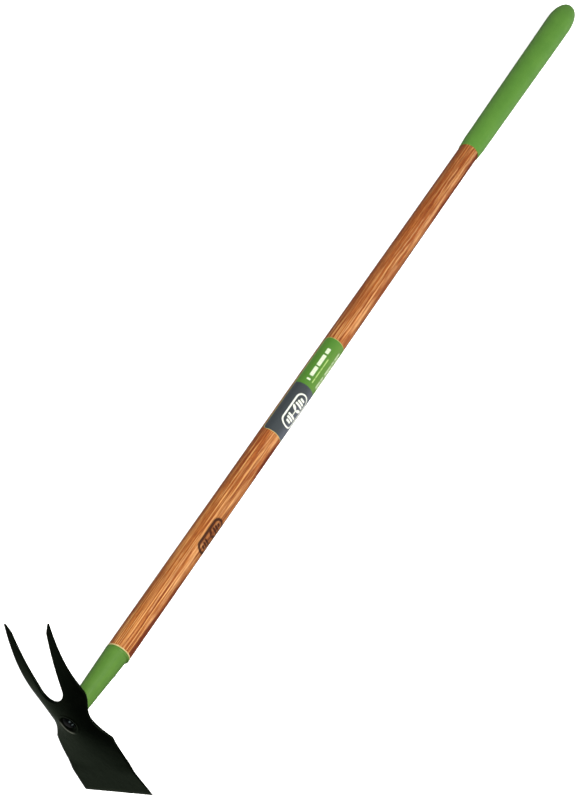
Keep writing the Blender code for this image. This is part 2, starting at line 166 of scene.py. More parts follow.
def inner_half(p):
    if p >= CROTCH_AT:
        return 0.0
    bottom = CROTCH_AT - CROTCH_LONG
    if p > bottom:
        s = (p - bottom) / CROTCH_LONG
        return CROTCH_HALF * math.sqrt(max(0.0, 1.0 - s * s))
    h = CROTCH_HALF + GAP_OPENING * (bottom - p)
    close = (-p - (PRONG_REACH - TIP_TAPER)) / TIP_TAPER
    if close > 0:
        h = mix(h, TIP_HALF - TIP_WIDTH, close ** 1.5)
    return h


def handle_radius(x):
    return HANDLE_R - HANDLE_TAPER * smooth((x - TAPER_FROM) / (TAPER_TO - TAPER_FROM))


def ferrule_centre(x):
    return FERRULE_OFFSET - FERRULE_LEAN * min(x, FERRULE_END)


def ferrule_radius(x):
    return mix(FERRULE_SMALL_R, FERRULE_R, min(1.0, x / FERRULE_END))


def grip_radius(x):
    t = (x - GRIP_FROM - GRIP_TAPER) / (GRIP_TO - GRIP_DOME - GRIP_FROM - GRIP_TAPER)
    if t < 0:
        return mix(GRIP_LIP, GRIP_R0, smooth((x - GRIP_FROM) / GRIP_TAPER))
    return mix(GRIP_R0, GRIP_R1, t)


# ------------------------------------------------------------------ mesh helpers
def finish_mesh(name, bm, mat, sharp=38.0, node=None, attrs=None):
    bmesh.ops.recalc_face_normals(bm, faces=bm.faces)
    if bm.calc_volume(signed=True) < 0:
        bmesh.ops.reverse_faces(bm, faces=bm.faces)
    me = bpy.data.meshes.new(name)
    bm.to_mesh(me)
    bm.free()
    me.materials.append(mat)
    me.shade_smooth()
    if sharp:
        me.set_sharp_from_angle(angle=math.radians(sharp))
    me.transform(LAY)
    ob = bpy.data.objects.new(name, me)
    bpy.context.scene.collection.objects.link(ob)
    bpy.context.view_layer.update()
    if node:
        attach(ob, "root")
        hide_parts(node)
    return ob


def ring(bm, x, r, seg, cy=0.0, wobble=None):
    out = []
    for k in range(seg):
        a = 2 * math.pi * k / seg
        rr = r + (wobble(x, a) if wobble else 0.0)
        out.append(bm.verts.new((x * MM, (cy - rr * math.cos(a)) * MM, rr * math.sin(a) * MM)))
    return out


def skin(bm, a, b):
    n = len(a)
    for k in range(n):
        bm.faces.new((a[k], a[(k + 1) % n], b[(k + 1) % n], b[k]))


def fan(bm, line, x, cy=0.0):
    c = bm.verts.new((x * MM, cy * MM, 0.0))
    n = len(line)
    for k in range(n):
        bm.faces.new((line[k], line[(k + 1) % n], c))


def cut_with(ob, profile_rings):
    """Boolean difference with a closed tube of rings, applied to the mesh."""
    bm = bmesh.new()
    rings = [[bm.verts.new(v) for v in line] for line in profile_rings]
    for a, b in zip(rings, rings[1:]):
        skin(bm, a, b)
    bm.faces.new(rings[0])
    bm.faces.new(rings[-1])
    bmesh.ops.recalc_face_normals(bm, faces=bm.faces)
    if bm.calc_volume(signed=True) < 0:
        bmesh.ops.reverse_faces(bm, faces=bm.faces)
    me = bpy.data.meshes.new("tool")
    bm.to_mesh(me)
    bm.free()
    me.transform(LAY)
    tool = bpy.data.objects.new("tool", me)
    bpy.context.scene.collection.objects.link(tool)
    m = ob.modifiers.new("cut", "BOOLEAN")
    m.operation, m.solver, m.object = "DIFFERENCE", "EXACT", tool
    bpy.context.view_layer.update()
    dg = bpy.context.evaluated_depsgraph_get()
    new = bpy.data.meshes.new_from_object(ob.evaluated_get(dg), preserve_all_data_layers=True, depsgraph=dg)
    ob.modifiers.clear()
    old = ob.data
    ob.data = new
    bpy.data.meshes.remove(old)
    bpy.data.objects.remove(tool)
    return ob


# ------------------------------------------------------------------ node helper
class Nodes:
    def __init__(self, name):
        self.mat = bpy.data.materials.new(name)
        self.mat.use_nodes = True
        self.t = self.mat.node_tree
        self.bsdf = self.t.nodes["Principled BSDF"]
        self._obj = None

    def link(self, a, b):
        self.t.links.new(a, b)

    def put(self, socket, v):
        if hasattr(v, "is_output") or isinstance(v, bpy.types.NodeSocket):
            self.link(v, socket)
        else:
            socket.default_value = v

    def set(self, name, v):
        self.put(self.bsdf.inputs[name], v)

    def m(self, op, a, b=None, c=None, clamp=False):
        n = self.t.nodes.new("ShaderNodeMath")
        n.operation = op
        n.use_clamp = clamp
        self.put(n.inputs[0], a)
        if b is not None:
            self.put(n.inputs[1], b)
        if c is not None:
            self.put(n.inputs[2], c)
        return n.outputs[0]

    def add(self, a, b): return self.m("ADD", a, b)
    def sub(self, a, b): return self.m("SUBTRACT", a, b)
    def mul(self, a, b): return self.m("MULTIPLY", a, b)
    def mx(self, a, b): return self.m("MAXIMUM", a, b)
    def mn(self, a, b): return self.m("MINIMUM", a, b)

    def coords(self):
        """Tool coordinates in millimetres."""
        if self._obj is None:
            tc = self.t.nodes.new("ShaderNodeTexCoord")
            s = self.t.nodes.new("ShaderNodeMapping")
            s.vector_type = "TEXTURE"
            s.inputs["Location"].default_value = LAY.translation
            s.inputs["Rotation"].default_value = LAY.to_euler("XYZ")
            s.inputs["Scale"].default_value = (MM, MM, MM)
            self.link(tc.outputs["Object"], s.inputs["Vector"])
            self._obj = s.outputs[0]
        return self._obj

    def xyz(self, v):
        n = self.t.nodes.new("ShaderNodeSeparateXYZ")
        self.link(v, n.inputs[0])
        return n.outputs

    def vec(self, x, y, z):
        n = self.t.nodes.new("ShaderNodeCombineXYZ")
        for s, v in zip(n.inputs, (x, y, z)):
            self.put(s, v)
        return n.outputs[0]

    def vscale(self, v, s):
        n = self.t.nodes.new("ShaderNodeVectorMath")
        n.operation = "MULTIPLY"
        self.link(v, n.inputs[0])
        n.inputs[1].default_value = s
        return n.outputs[0]

    def attr(self, name, kind="Fac"):
        n = self.t.nodes.new("ShaderNodeAttribute")
        n.attribute_name = name
        return n.outputs[kind]

    def noise(self, v, scale=1.0, detail=3.0, rough=0.5, dist=0.0, dims="3D"):
        n = self.t.nodes.new("ShaderNodeTexNoise")
        n.noise_dimensions = dims
        self.link(v, n.inputs["Vector"])
        n.inputs["Scale"].default_value = scale
        n.inputs["Detail"].default_value = detail
        n.inputs["Roughness"].default_value = rough
        n.inputs["Distortion"].default_value = dist
        return n.outputs[0]

    def voronoi(self, v, scale=1.0, out="Distance", feature="F1"):
        n = self.t.nodes.new("ShaderNodeTexVoronoi")
        n.feature = feature
        self.link(v, n.inputs["Vector"])
        n.inputs["Scale"].default_value = scale
        return n.outputs[out]

    def ramp(self, fac, stops, interp="LINEAR"):
        n = self.t.nodes.new("ShaderNodeValToRGB")
        n.color_ramp.interpolation = interp
        el = n.color_ramp.elements
        while len(el) > 1:
            el.remove(el[-1])
        for k, (pos, col) in enumerate(stops):
            e = el[0] if k == 0 else el.new(pos)
            e.position = pos
            e.color = (*col, 1.0) if len(col) == 3 else col
        self.link(fac, n.inputs[0])
        return n.outputs[0]

    def step(self, v, a, b):
        """0 below a, 1 above b, smooth between; falls instead where a is the larger."""
        if a > b:
            return self.sub(1.0, self.step(v, b, a))
        n = self.t.nodes.new("ShaderNodeMapRange")
        n.interpolation_type = "SMOOTHSTEP"
        self.put(n.inputs["Value"], v)
        n.inputs["From Min"].default_value = a
        n.inputs["From Max"].default_value = b
        return n.outputs[0]

    def mixc(self, fac, a, b, blend="MIX"):
        n = self.t.nodes.new("ShaderNodeMix")
        n.data_type = "RGBA"
        n.blend_type = blend
        self.put(n.inputs[0], fac)
        for s, v in ((n.inputs[6], a), (n.inputs[7], b)):
            self.put(s, (*v, 1.0) if isinstance(v, tuple) and len(v) == 3 else v)
        return n.outputs[2]

    def lerp(self, fac, a, b):
        n = self.t.nodes.new("ShaderNodeMapRange")
        self.put(n.inputs["Value"], fac)
        n.inputs["To Min"].default_value = a
        n.inputs["To Max"].default_value = b
        return n.outputs[0]

    def bump(self, height, distance, strength=1.0, normal=None):
        n = self.t.nodes.new("ShaderNodeBump")
        n.inputs["Strength"].default_value = strength
        n.inputs["Distance"].default_value = distance
        self.link(height, n.inputs["Height"])
        if normal is not None:
            self.link(normal, n.inputs["Normal"])
        return n.outputs[0]

    def around(self):
        """(mm along the handle, mm of arc round it from the side that faces the camera)."""
        x, y, z = self.xyz(self.coords())
        a = self.m("ARCTAN2", z, self.mul(y, -1.0))            # -pi..pi, 0 on the blade's side
        a = self.sub(a, math.radians(FACING))
        a = self.m("WRAP", a, math.pi, -math.pi)
        return x, self.mul(a, HANDLE_R)


def lin(r, g, b):
    def f(c):
        c /= 255.0
        return c / 12.92 if c <= 0.04045 else ((c + 0.055) / 1.055) ** 2.4
    return (f(r), f(g), f(b))


# ------------------------------------------------------------------ materials
def head_material():
    g = Nodes("head_paint_satin")
    v = g.coords()
    wear = g.attr("wear")
    big = g.noise(v, 0.045, 5.0, 0.62)
    mid = g.noise(v, 0.22, 4.0, 0.6)
    fine = g.noise(v, 2.6, 3.0, 0.6)
    scratch = g.noise(g.vscale(v, (0.5, 0.03, 2.4)), 1.0, 2.0, 0.7)
    paint = g.ramp(g.add(g.mul(big, 0.6), g.mul(mid, 0.4)), [
        (0.34, lin(7, 11, 7)), (0.52, lin(10, 14, 9)), (0.68, lin(15, 19, 13))])
    grime = g.step(g.add(big, g.mul(mid, 0.5)), 0.78, 0.98)
    paint = g.mixc(g.mul(grime, 0.25), paint, lin(28, 29, 22))
    bare = g.ramp(mid, [(0.3, lin(50, 48, 44)), (0.7, lin(84, 82, 76))])
    chips = g.step(g.add(wear, g.mul(g.sub(g.add(g.mul(mid, 0.6), g.mul(fine, 0.4)), 0.5), 1.5)), 0.80, 1.02)
    # painted highlight: a bright crescent on the lower side of the dish's lip, standing in for the light the lip
    # catches
    hx, hy, hz = g.xyz(v)
    ey = g.add(hy, 0.6)
    out = g.m("SQRT", g.add(g.mul(ey, ey), g.mul(hz, hz)))
    low = g.m("DIVIDE", g.add(g.mul(ey, -0.64), g.mul(hz, -0.768)), g.mx(out, 1.0))
    lip_highlight = g.mul(g.sub(1.0, g.step(g.m("ABSOLUTE", g.sub(out, DISH_MOUTH_R + 0.9)), 0.45, 1.45)), g.step(low, 0.40, 0.88))
    lip_highlight = g.mul(g.mul(lip_highlight, g.sub(1.0, g.step(hx, 6.0, 8.0))), g.lerp(fine, 0.75, 1.0))
    # mix the pale painted highlight colour over the paint on that crescent
    paint = g.mixc(g.mul(lip_highlight, 0.95), paint, lin(158, 162, 146))
    g.set("Base Color", g.mixc(chips, paint, bare))
    g.bsdf.inputs["Metallic"].default_value = 0.72      # graphite-black paint
    rough = g.add(g.lerp(mid, 0.30, 0.42), g.mul(g.sub(fine, 0.5), 0.08))
    g.set("Roughness", g.add(rough, g.mul(g.step(scratch, 0.60, 0.70), 0.12)))
    g.bsdf.inputs["Specular IOR Level"].default_value = 0.05
    g.bsdf.inputs["Specular Tint"].default_value = (0.705, 0.81, 0.67, 1.0)
    h = g.add(g.mul(fine, 0.4), g.mul(mid, 1.6))
    h = g.sub(h, g.mul(g.step(scratch, 0.62, 0.70), 0.30))
    h = g.sub(h, g.mul(chips, 0.5))
    g.set("Normal", g.bump(h, 0.00016, 0.55))
    return g.mat


def green_paint_material():
    g = Nodes("ferrule_green_paint")
    v = g.coords()
    wear = g.attr("wear")
    big = g.noise(v, 0.06, 4.0, 0.55)
    fine = g.noise(v, 1.7, 3.0, 0.55)
    run = g.noise(g.vscale(v, (0.02, 0.5, 0.5)), 1.0, 3.0, 0.6)
    col = g.ramp(g.add(g.mul(big, 0.5), g.mul(run, 0.5)), [
        (0.34, lin(74, 114, 45)), (0.52, lin(80, 120, 48)), (0.68, lin(86, 126, 51))])
    chips = g.step(g.add(wear, g.mul(g.sub(fine, 0.5), 1.3)), 0.92, 1.08)
    dirt = g.step(g.add(wear, g.mul(big, 0.5)), 0.80, 1.25)
    col = g.mixc(g.mul(dirt, 0.25), col, lin(60, 70, 32))
    g.set("Base Color", g.mixc(chips, col, lin(92, 92, 84)))
    g.set("Metallic", g.mul(chips, 0.6))
    g.set("Roughness", g.lerp(g.add(g.mul(big, 0.6), g.mul(fine, 0.4)), 0.30, 0.46))
    g.bsdf.inputs["Specular IOR Level"].default_value = 0.22
    g.set("Normal", g.bump(g.add(fine, g.mul(big, 2.0)), 0.00010, 0.5))
    return g.mat


def grip_material():
    g = Nodes("grip_foam_green")
    v = g.coords()
    x, y, z = g.xyz(v)
    cells = g.voronoi(v, 1.15, "Distance")
    fine = g.noise(v, 1.9, 4.0, 0.65)
    big = g.noise(v, 0.035, 4.0, 0.6)
    drag = g.noise(g.vscale(v, (0.02, 0.16, 0.16)), 1.0, 3.0, 0.5)
    col = g.ramp(g.add(g.mul(big, 0.65), g.mul(drag, 0.35)), [
        (0.34, lin(82, 131, 49)), (0.52, lin(86, 135, 51)), (0.68, lin(91, 139, 54))])
    pores = g.step(fine, 0.60, 0.74)
    col = g.mixc(g.mul(pores, 0.22), col, lin(62, 104, 38))
    lip = g.step(x, GRIP_FROM + 1.2, GRIP_FROM - 0.2)
    soil = g.mul(g.step(g.noise(v, 0.11, 5.0, 0.65), 0.60, 0.80), 0.12)
    col = g.mixc(soil, col, lin(70, 104, 44))
    g.set("Base Color", g.mixc(g.mul(lip, 0.4), col, lin(120, 150, 70)))
    g.set("Roughness", g.lerp(fine, 0.62, 0.84))
    g.bsdf.inputs["Specular IOR Level"].default_value = 0.22
    g.bsdf.inputs["Sheen Weight"].default_value = 0.06
    h = g.add(g.mul(cells, 0.7), g.mul(fine, 0.9))
    g.set("Normal", g.bump(g.add(h, g.mul(drag, 1.2)), 0.00022, 0.45))
    return g.mat


def wood_material():
    """Stained ash under thin lacquer: open pores, wavy rings, edges darkened with painted shade, bright figure that is
    partly painted highlight.
    """
    g = Nodes("handle_wood_ring_porous")
    v = g.coords()
    x, y, z = g.xyz(v)
    _, s = g.around()

    def fibre(scale, detail=3.0, rough=0.55, shift=(0.0, 0.0, 0.0)):
        return g.noise(g.vscale(g.add_v(v, shift), scale), 1.0, detail, rough)

    # rings: arcs round an axis outside the stick, wandering slowly along it
    drift = g.sub(fibre((0.0024, 0.006, 0.006), 2.0, 0.5), 0.5)
    drift2 = g.sub(fibre((0.008, 0.03, 0.03), 2.0, 0.5, (40.0, 0.0, 9.0)), 0.5)
    dy = g.sub(g.add(y, g.mul(drift, 18.0)), 30.0)
    dz = g.sub(g.add(z, g.mul(drift2, 9.0)), -38.0)
    rad = g.m("SQRT", g.add(g.mul(dy, dy), g.mul(dz, dz)))
    wob = g.sub(fibre((0.018, 0.30, 0.30), 3.0, 0.6), 0.5)
    pitch = g.sub(fibre((0.001, 0.09, 0.09), 1.0, 0.5, (7.0, 3.0, 1.0)), 0.5)
    saw = g.m("FRACT", g.mul(g.add(g.add(rad, g.mul(wob, 2.6)), g.mul(pitch, 5.0)), 1.0 / 3.4))
    early = g.mul(g.step(saw, 0.0, 0.10), g.sub(1.0, g.step(saw, 0.20, 0.60)))

    tone = fibre((0.007, 0.10, 0.10), 4.0, 0.6)
    grain = fibre((0.0055, 0.85, 0.85), 3.0, 0.6, (5.0, 0.0, 0.0))
    base = g.ramp(g.add(g.mul(tone, 0.55), g.mul(grain, 0.45)), [
        (0.34, lin(140, 74, 34)), (0.46, lin(166, 97, 46)), (0.56, lin(183, 114, 56)), (0.68, lin(200, 136, 72))])
    redder = g.mul(g.step(g.add(x, g.mul(g.sub(tone, 0.5), 300.0)), 330.0, 450.0), 0.75)
    base = g.mixc(redder, base, g.ramp(g.add(g.mul(tone, 0.5), g.mul(grain, 0.5)), [
        (0.34, lin(130, 60, 28)), (0.50, lin(160, 84, 40)), (0.66, lin(186, 110, 56))]))
    base = g.mixc(g.mul(early, g.lerp(grain, 0.15, 0.60)), base, lin(122, 60, 28))

    # wavy bright figure, two or three threads wide, on the side that was cut flat; the threads near the line that faces
    # the camera are partly wood figure and partly painted highlight
    wave = g.add(g.mul(g.sub(g.noise(g.vec(g.mul(x, 0.0095), 3.0, 0.0), 1.0, 2.0, 0.5), 0.5), 7.0),
                 g.mul(g.sub(g.noise(g.vec(g.mul(x, 0.045), 9.0, 0.0), 1.0, 2.0, 0.5), 0.5), 2.2))
    q = g.add(s, wave)
    figure_and_highlight = None
    dark = None
    for at, half, k in ((3.8, 0.7, 0.30), (-1.2, 0.9, 0.75), (-5.6, 0.9, 0.85), (-9.4, 2.4, 0.72), (27.0, 1.6, 0.6), (-33.0, 1.4, 0.6), (36.0, 1.2, 0.5)):
        wide = g.lerp(g.noise(g.vec(g.mul(x, 0.012), at, 15.0), 1.0, 2.0, 0.5), 0.2, 1.9)
        d = g.m("DIVIDE", g.m("ABSOLUTE", g.sub(q, at)), wide)
        on = g.mul(g.sub(1.0, g.step(d, half * 0.3, half * 1.35)), k)
        on = g.mul(on, g.step(g.noise(g.vec(g.mul(x, 0.017), at, 5.0), 1.0, 2.0, 0.5), 0.36, 0.60))
        figure_and_highlight = on if figure_and_highlight is None else g.mx(figure_and_highlight, on)
    for at, half, k in ((1.4, 0.55, 0.6), (-3.4, 0.6, 0.95), (-7.4, 0.5, 0.8), (-12.8, 0.9, 0.6), (6.6, 0.5, 0.5), (24.0, 0.8, 0.7), (-30.5, 0.8, 0.7), (31.0, 0.7, 0.6), (39.5, 0.8, 0.6)):
        d = g.m("ABSOLUTE", g.sub(q, at))
        on = g.mul(g.sub(1.0, g.step(d, half * 0.25, half * 1.4)), k)
        on = g.mul(on, g.step(g.noise(g.vec(g.mul(x, 0.022), at, 1.0), 1.0, 2.0, 0.6), 0.38, 0.62))
        dark = on if dark is None else g.mx(dark, on)
    figure_and_highlight = g.mn(figure_and_highlight, 1.0)
    dark = g.mn(dark, 1.0)
    base = g.mixc(g.mul(figure_and_highlight, g.lerp(grain, 0.55, 1.0)), base, lin(234, 180, 122))
    base = g.mixc(g.mul(dark, 0.85), base, lin(102, 44, 20))

    # open pores: dashes 2 to 8 mm long, and finer ones between
    pore = fibre((0.10, 1.35, 1.35), 2.0, 0.6, (311.0, 17.0, 5.0))
    pore2 = fibre((0.30, 3.4, 3.4), 1.0, 0.5, (57.0, 3.0, 9.0))
    plain = g.lerp(figure_and_highlight, 1.0, 0.35)
    pores = g.mul(g.step(g.add(pore, g.mul(early, 0.05)), 0.525, 0.60), plain)
    fine = g.mul(g.step(pore2, 0.56, 0.64), plain)
    base = g.mixc(g.mul(pores, 0.42), base, lin(100, 42, 18))
    base = g.mixc(g.mul(fine, 0.30), base, lin(88, 38, 18))
    light = fibre((0.011, 0.80, 0.80), 2.0, 0.5, (91.0, 70.0, 35.0))
    calm = g.lerp(g.step(x, 640.0, 720.0), 1.0, 0.5)
    base = g.mixc(g.mul(g.mul(g.step(light, 0.51, 0.61), 0.62), calm), base, lin(230, 174, 108))
    vein = fibre((0.008, 0.92, 0.92), 2.0, 0.5, (17.0, 190.0, 77.0))
    base = g.mixc(g.mul(g.mul(g.step(vein, 0.53, 0.62), 0.62), calm), base, lin(112, 50, 22))

    # painted shade: the stick is darker along its edge on one side as seen from the camera, in uneven patches, the
    # width varying along its length
    patch = fibre((0.014, 0.05, 0.05), 3.0, 0.6, (3.0, 2.0, 1.0))
    wide = g.ramp(g.mul(g.sub(x, 100.0), 0.001), [(k, (v_, v_, v_)) for k, v_ in (
        (0.000, 1.00), (0.050, 0.86), (0.110, 0.62), (0.150, 0.36), (0.210, 0.34), (0.300, 0.42), (0.325, 0.74),
        (0.350, 0.72), (0.372, 0.40), (0.555, 0.48), (0.600, 0.50), (0.630, 0.22), (0.820, 0.26), (0.850, 0.66), (0.900, 0.70))])
    rim = g.step(g.add(g.add(g.mul(s, -1.0), g.mul(wide, 10.0)), g.mul(g.sub(patch, 0.5), 11.0)), 20.2, 22.6)
    rim = g.mul(rim, g.step(s, -31.0, -24.0))
    base = g.mixc(g.mul(rim, 0.86), base, lin(96, 36, 18))
    # painted shade: the opposite edge as seen from the camera is darkened too, less strongly
    far = g.mul(g.step(g.add(s, g.mul(g.sub(patch, 0.5), 8.0)), 11.0, 20.0), g.sub(1.0, g.step(s, 25.0, 33.0)))
    base = g.mixc(g.mul(far, 0.52), base, lin(118, 54, 28))
    mott = fibre((0.03, 0.14, 0.14), 4.0, 0.65, (13.0, 2.0, 21.0))
    base = g.mixc(g.mul(g.step(mott, 0.56, 0.74), 0.30), base, lin(112, 58, 32))

    # burnt stamp, no lettering
    mark = stamp_mask(g, x, s)
    char = g.mul(mark, g.lerp(g.noise(v, 1.1, 3.0, 0.6), 0.84, 1.0))
    base = g.mixc(char, base, lin(10, 7, 7))
    scorch = g.sub(1.0, g.step(stamp_frame(g, x, s), 0.0, 5.0))
    base = g.mixc(g.mul(scorch, 0.30), base, lin(84, 38, 20))
    near = g.mul(g.step(x, FERRULE_END + 26.0, FERRULE_END), g.lerp(g.noise(v, 0.2, 4.0, 0.6), 0.2, 1.0))
    base = g.mixc(g.mul(near, 0.16), base, lin(112, 56, 30))
    g.set("Base Color", base)
    g.set("Roughness", g.add(g.lerp(tone, 0.36, 0.48), g.mul(pores, 0.14)))
    g.bsdf.inputs["Specular IOR Level"].default_value = 0.12
    g.bsdf.inputs["Coat Weight"].default_value = 0.04
    g.bsdf.inputs["Coat Roughness"].default_value = 0.30
    h = g.sub(g.mul(saw, 0.2), g.add(g.mul(pores, 0.9), g.mul(fine, 0.4)))
    h = g.sub(h, g.mul(mark, 1.6))
    g.set("Normal", g.bump(h, 0.00016, 0.6))
    return g.mat


def _add_v(self, v, t):
    n = self.t.nodes.new("ShaderNodeVectorMath")
    n.operation = "ADD"
    self.link(v, n.inputs[0])
    n.inputs[1].default_value = t
    return n.outputs[0]


Nodes.add_v = _add_v


def length2(g, a, b):
    return g.m("SQRT", g.add(g.mul(a, a), g.mul(b, b)))


def circle(g, u, v, cu, cv, r):
    return g.sub(length2(g, g.sub(u, cu), g.sub(v, cv)), r)


def box_sdf(g, u, v, cu, cv, hu, hv, r=0.0):
    du = g.sub(g.m("ABSOLUTE", g.sub(u, cu)), hu - r)
    dv = g.sub(g.m("ABSOLUTE", g.sub(v, cv)), hv - r)
    outside = length2(g, g.mx(du, 0.0), g.mx(dv, 0.0))
    inside = g.mn(g.mx(du, dv), 0.0)
    return g.sub(g.add(outside, inside), r)


def leaf(g, u, v, cu, cv, angle, long, wide):
    """A pointed leaf: where two circles overlap."""
    r = (long * long + wide * wide) / (4 * wide)
    d = r - wide / 2.0
    nu, nv = -math.sin(angle) * d, math.cos(angle) * d
    return g.mx(circle(g, u, v, cu + nu, cv + nv, r), circle(g, u, v, cu - nu, cv - nv, r))


def solid(g, sdf, soft=0.12):
    return g.sub(1.0, g.step(sdf, -soft, soft))


def line_of(g, sdf, half, soft=0.12):
    return g.sub(1.0, g.step(g.m("ABSOLUTE", sdf), half - soft, half + soft))


def sprout(g, u, v, cu, cv, k=1.0):
    """Two leaves on a short stem, pointing along +u."""
    a = leaf(g, u, v, cu + 3.0 * k, cv + 3.4 * k, math.radians(48), 9.0 * k, 3.8 * k)
    b = leaf(g, u, v, cu + 3.0 * k, cv - 3.4 * k, math.radians(-48), 9.0 * k, 3.8 * k)
    stem = box_sdf(g, u, v, cu - 3.6 * k, cv, 3.8 * k, 0.55 * k)
    return g.mn(g.mn(a, b), stem)


STAMP_AT, STAMP_S, STAMP_HALF, STAMP_WIDE = 299.0, -12.3, 25.5, 7.8


def badge(g, u, s, cu, cs, half, wide, line, k, soft):
    """A generic badge without letters: a round-ended frame, a sprout and three bars on each side."""
    m = line_of(g, box_sdf(g, u, s, cu, cs, half, wide, wide - 0.1), line, soft)
    m = g.mx(m, solid(g, sprout(g, u, s, cu - 0.6 * k, cs, k), soft))
    for n, tall in enumerate((0.66, 0.56, 0.38)):
        off = (8.8 + 4.2 * n) * k
        for side in (-1.0, 1.0):
            m = g.mx(m, solid(g, box_sdf(g, u, s, cu + side * off, cs, 1.45 * k, wide * tall, 0.5 * k), soft))
    return m


def stamp_frame(g, u, s):
    return box_sdf(g, u, s, STAMP_AT, STAMP_S, STAMP_HALF, STAMP_WIDE, STAMP_WIDE - 0.1)


def stamp_mask(g, u, s):
    return badge(g, u, s, STAMP_AT, STAMP_S, STAMP_HALF, STAMP_WIDE, 1.8, 1.08, 0.4)


def label_material():
    g = Nodes("label_film_print")
    flat = g.attr("flat", "Vector")
    u, s, _ = g.xyz(flat)                 # mm from the label's lower end, mm of arc from the facing line
    v = g.coords()
    grain = g.noise(v, 0.5, 3.0, 0.5)
    across = g.mul(s, -1.0)
    grey = g.mixc(g.step(across, 2.0, 20.0), lin(60, 66, 70), lin(92, 98, 110))
    grey = g.mixc(g.mul(grain, 0.25), grey, lin(46, 51, 54))
    green = g.mixc(g.step(across, -4.0, 16.0), lin(76, 125, 46), lin(94, 134, 54))
    green = g.mixc(g.mul(grain, 0.2), green, lin(70, 116, 42))
    split = BORDER_AT - LABEL_FROM
    col = g.mixc(g.step(u, split - 0.2, split + 0.2), grey, green)
    white = lin(228, 232, 222)
    m = badge(g, u, s, 47.0, -8.6, 27.5, 9.4, 1.15, 1.12, 0.2)
    col = g.mixc(m, col, white)
    # plain bars and rules where a maker would print words
    m = None
    for a, b in ((8.8, 12.0), (17.0, 33.6), (36.4, 56.6), (59.8, 69.0)):
        d = solid(g, box_sdf(g, u, s, split + (a + b) / 2, 1.5, (b - a) / 2, 2.5, 0.5))
        m = d if m is None else g.mx(m, d)
    # each bar is broken by fine gaps
    gaps = g.step(g.m("FRACT", g.mul(g.add(u, g.mul(g.m("SINE", g.mul(u, 1.3)), 0.3)), 0.36)), 0.86, 0.92)
    col = g.mixc(g.mul(g.mul(m, g.sub(1.0, g.mul(gaps, 0.75))), 0.92), col, lin(224, 238, 210))
    m = None
    for a, b in ((8.8, 17.0), (18.6, 31.0), (32.6, 38.0), (39.6, 54.0)):
        d = solid(g, box_sdf(g, u, s, split + (a + b) / 2, -5.2, (b - a) / 2, 0.75, 0.3))
        m = d if m is None else g.mx(m, d)
    col = g.mixc(g.mul(m, 0.75), col, lin(184, 216, 130))
    m = None
    for a, b, o in ((9.0, 21.0, -14.6), (23.0, 30.0, -14.6), (34.0, 52.0, -14.6), (54.0, 60.0, -14.6), (62.5, 76.0, -14.6),
                    (9.0, 30.0, -18.4), (33.0, 58.0, -18.4), (60.5, 72.0, -18.4)):
        d = solid(g, box_sdf(g, u, s, split + (a + b) / 2, o, (b - a) / 2, 1.1, 0.3))
        m = d if m is None else g.mx(m, d)
    col = g.mixc(g.mul(m, 0.85), col, lin(214, 230, 190))
    # a barcode-like block of plain rules on the side away from the camera
    stripe = g.step(g.m("FRACT", g.mul(g.add(u, g.mul(g.m("SINE", g.mul(u, 1.7)), 0.35)), 0.62)), 0.42, 0.50)
    block = solid(g, box_sdf(g, u, s, 132.0, -43.0, 17.0, 8.0, 0.5))
    col = g.mixc(block, col, lin(236, 238, 232))
    block2 = solid(g, box_sdf(g, u, s, 132.0, -43.0, 15.0, 6.2, 0.2))
    col = g.mixc(g.mul(block2, stripe), col, lin(28, 28, 28))
    edge = g.attr("rim")
    col = g.mixc(g.step(edge, 0.35, 0.75), col, lin(196, 190, 120))
    g.set("Base Color", col)
    g.set("Roughness", g.lerp(grain, 0.30, 0.40))
    g.bsdf.inputs["Specular IOR Level"].default_value = 0.36
    # a few shallow creases and trapped-air ripples
    ripple = g.noise(g.vscale(v, (0.10, 0.35, 0.35)), 1.0, 3.0, 0.5)
    g.set("Normal", g.bump(g.add(g.mul(ripple, 2.0), grain), 0.00008, 0.5))
    return g.mat


def steel_material(name, dark, light, r0, r1, metal, glint_spots=()):
    g = Nodes(name)
    v = g.coords()
    mid = g.noise(v, 0.55, 4.0, 0.65)
    fine = g.noise(v, 4.0, 3.0, 0.6)
    g.set("Base Color", g.ramp(g.add(g.mul(mid, 0.7), g.mul(fine, 0.3)), [(0.35, dark), (0.65, light)]))
    g.bsdf.inputs["Metallic"].default_value = metal
    g.set("Roughness", g.lerp(mid, r0, r1))
    g.set("Normal", g.bump(g.add(g.mul(mid, 1.5), g.mul(fine, 0.5)), 0.00025, 0.6))
    if glint_spots:
        # painted highlights: bright spots standing in for glints on two facets of the peened head
        _, y, z = g.xyz(v)
        m = None
        for cy, cz, r in glint_spots:
            d = g.sub(1.0, g.step(circle(g, y, z, cy, cz, r), -0.5, 0.4))
            m = d if m is None else g.mx(m, d)
        g.set("Base Color", g.mixc(g.mul(m, 0.9), g.ramp(mid, [(0.35, dark), (0.65, light)]), lin(76, 86, 88)))
    return g.mat


def glue_material():
    g = Nodes("glue_cured_cream")
    v = g.coords()
    n = g.noise(v, 0.8, 4.0, 0.6)
    g.set("Base Color", g.ramp(n, [(0.3, lin(176, 150, 92)), (0.7, lin(226, 206, 152))]))
    g.set("Roughness", g.lerp(n, 0.35, 0.6))
    g.bsdf.inputs["Subsurface Weight"].default_value = 0.0
    g.set("Normal", g.bump(n, 0.0003, 0.6))
    return g.mat


MAT_HEAD = head_material()
MAT_FERRULE = green_paint_material()
MAT_GRIP = grip_material()
MAT_WOOD = wood_material()
MAT_LABEL = label_material()
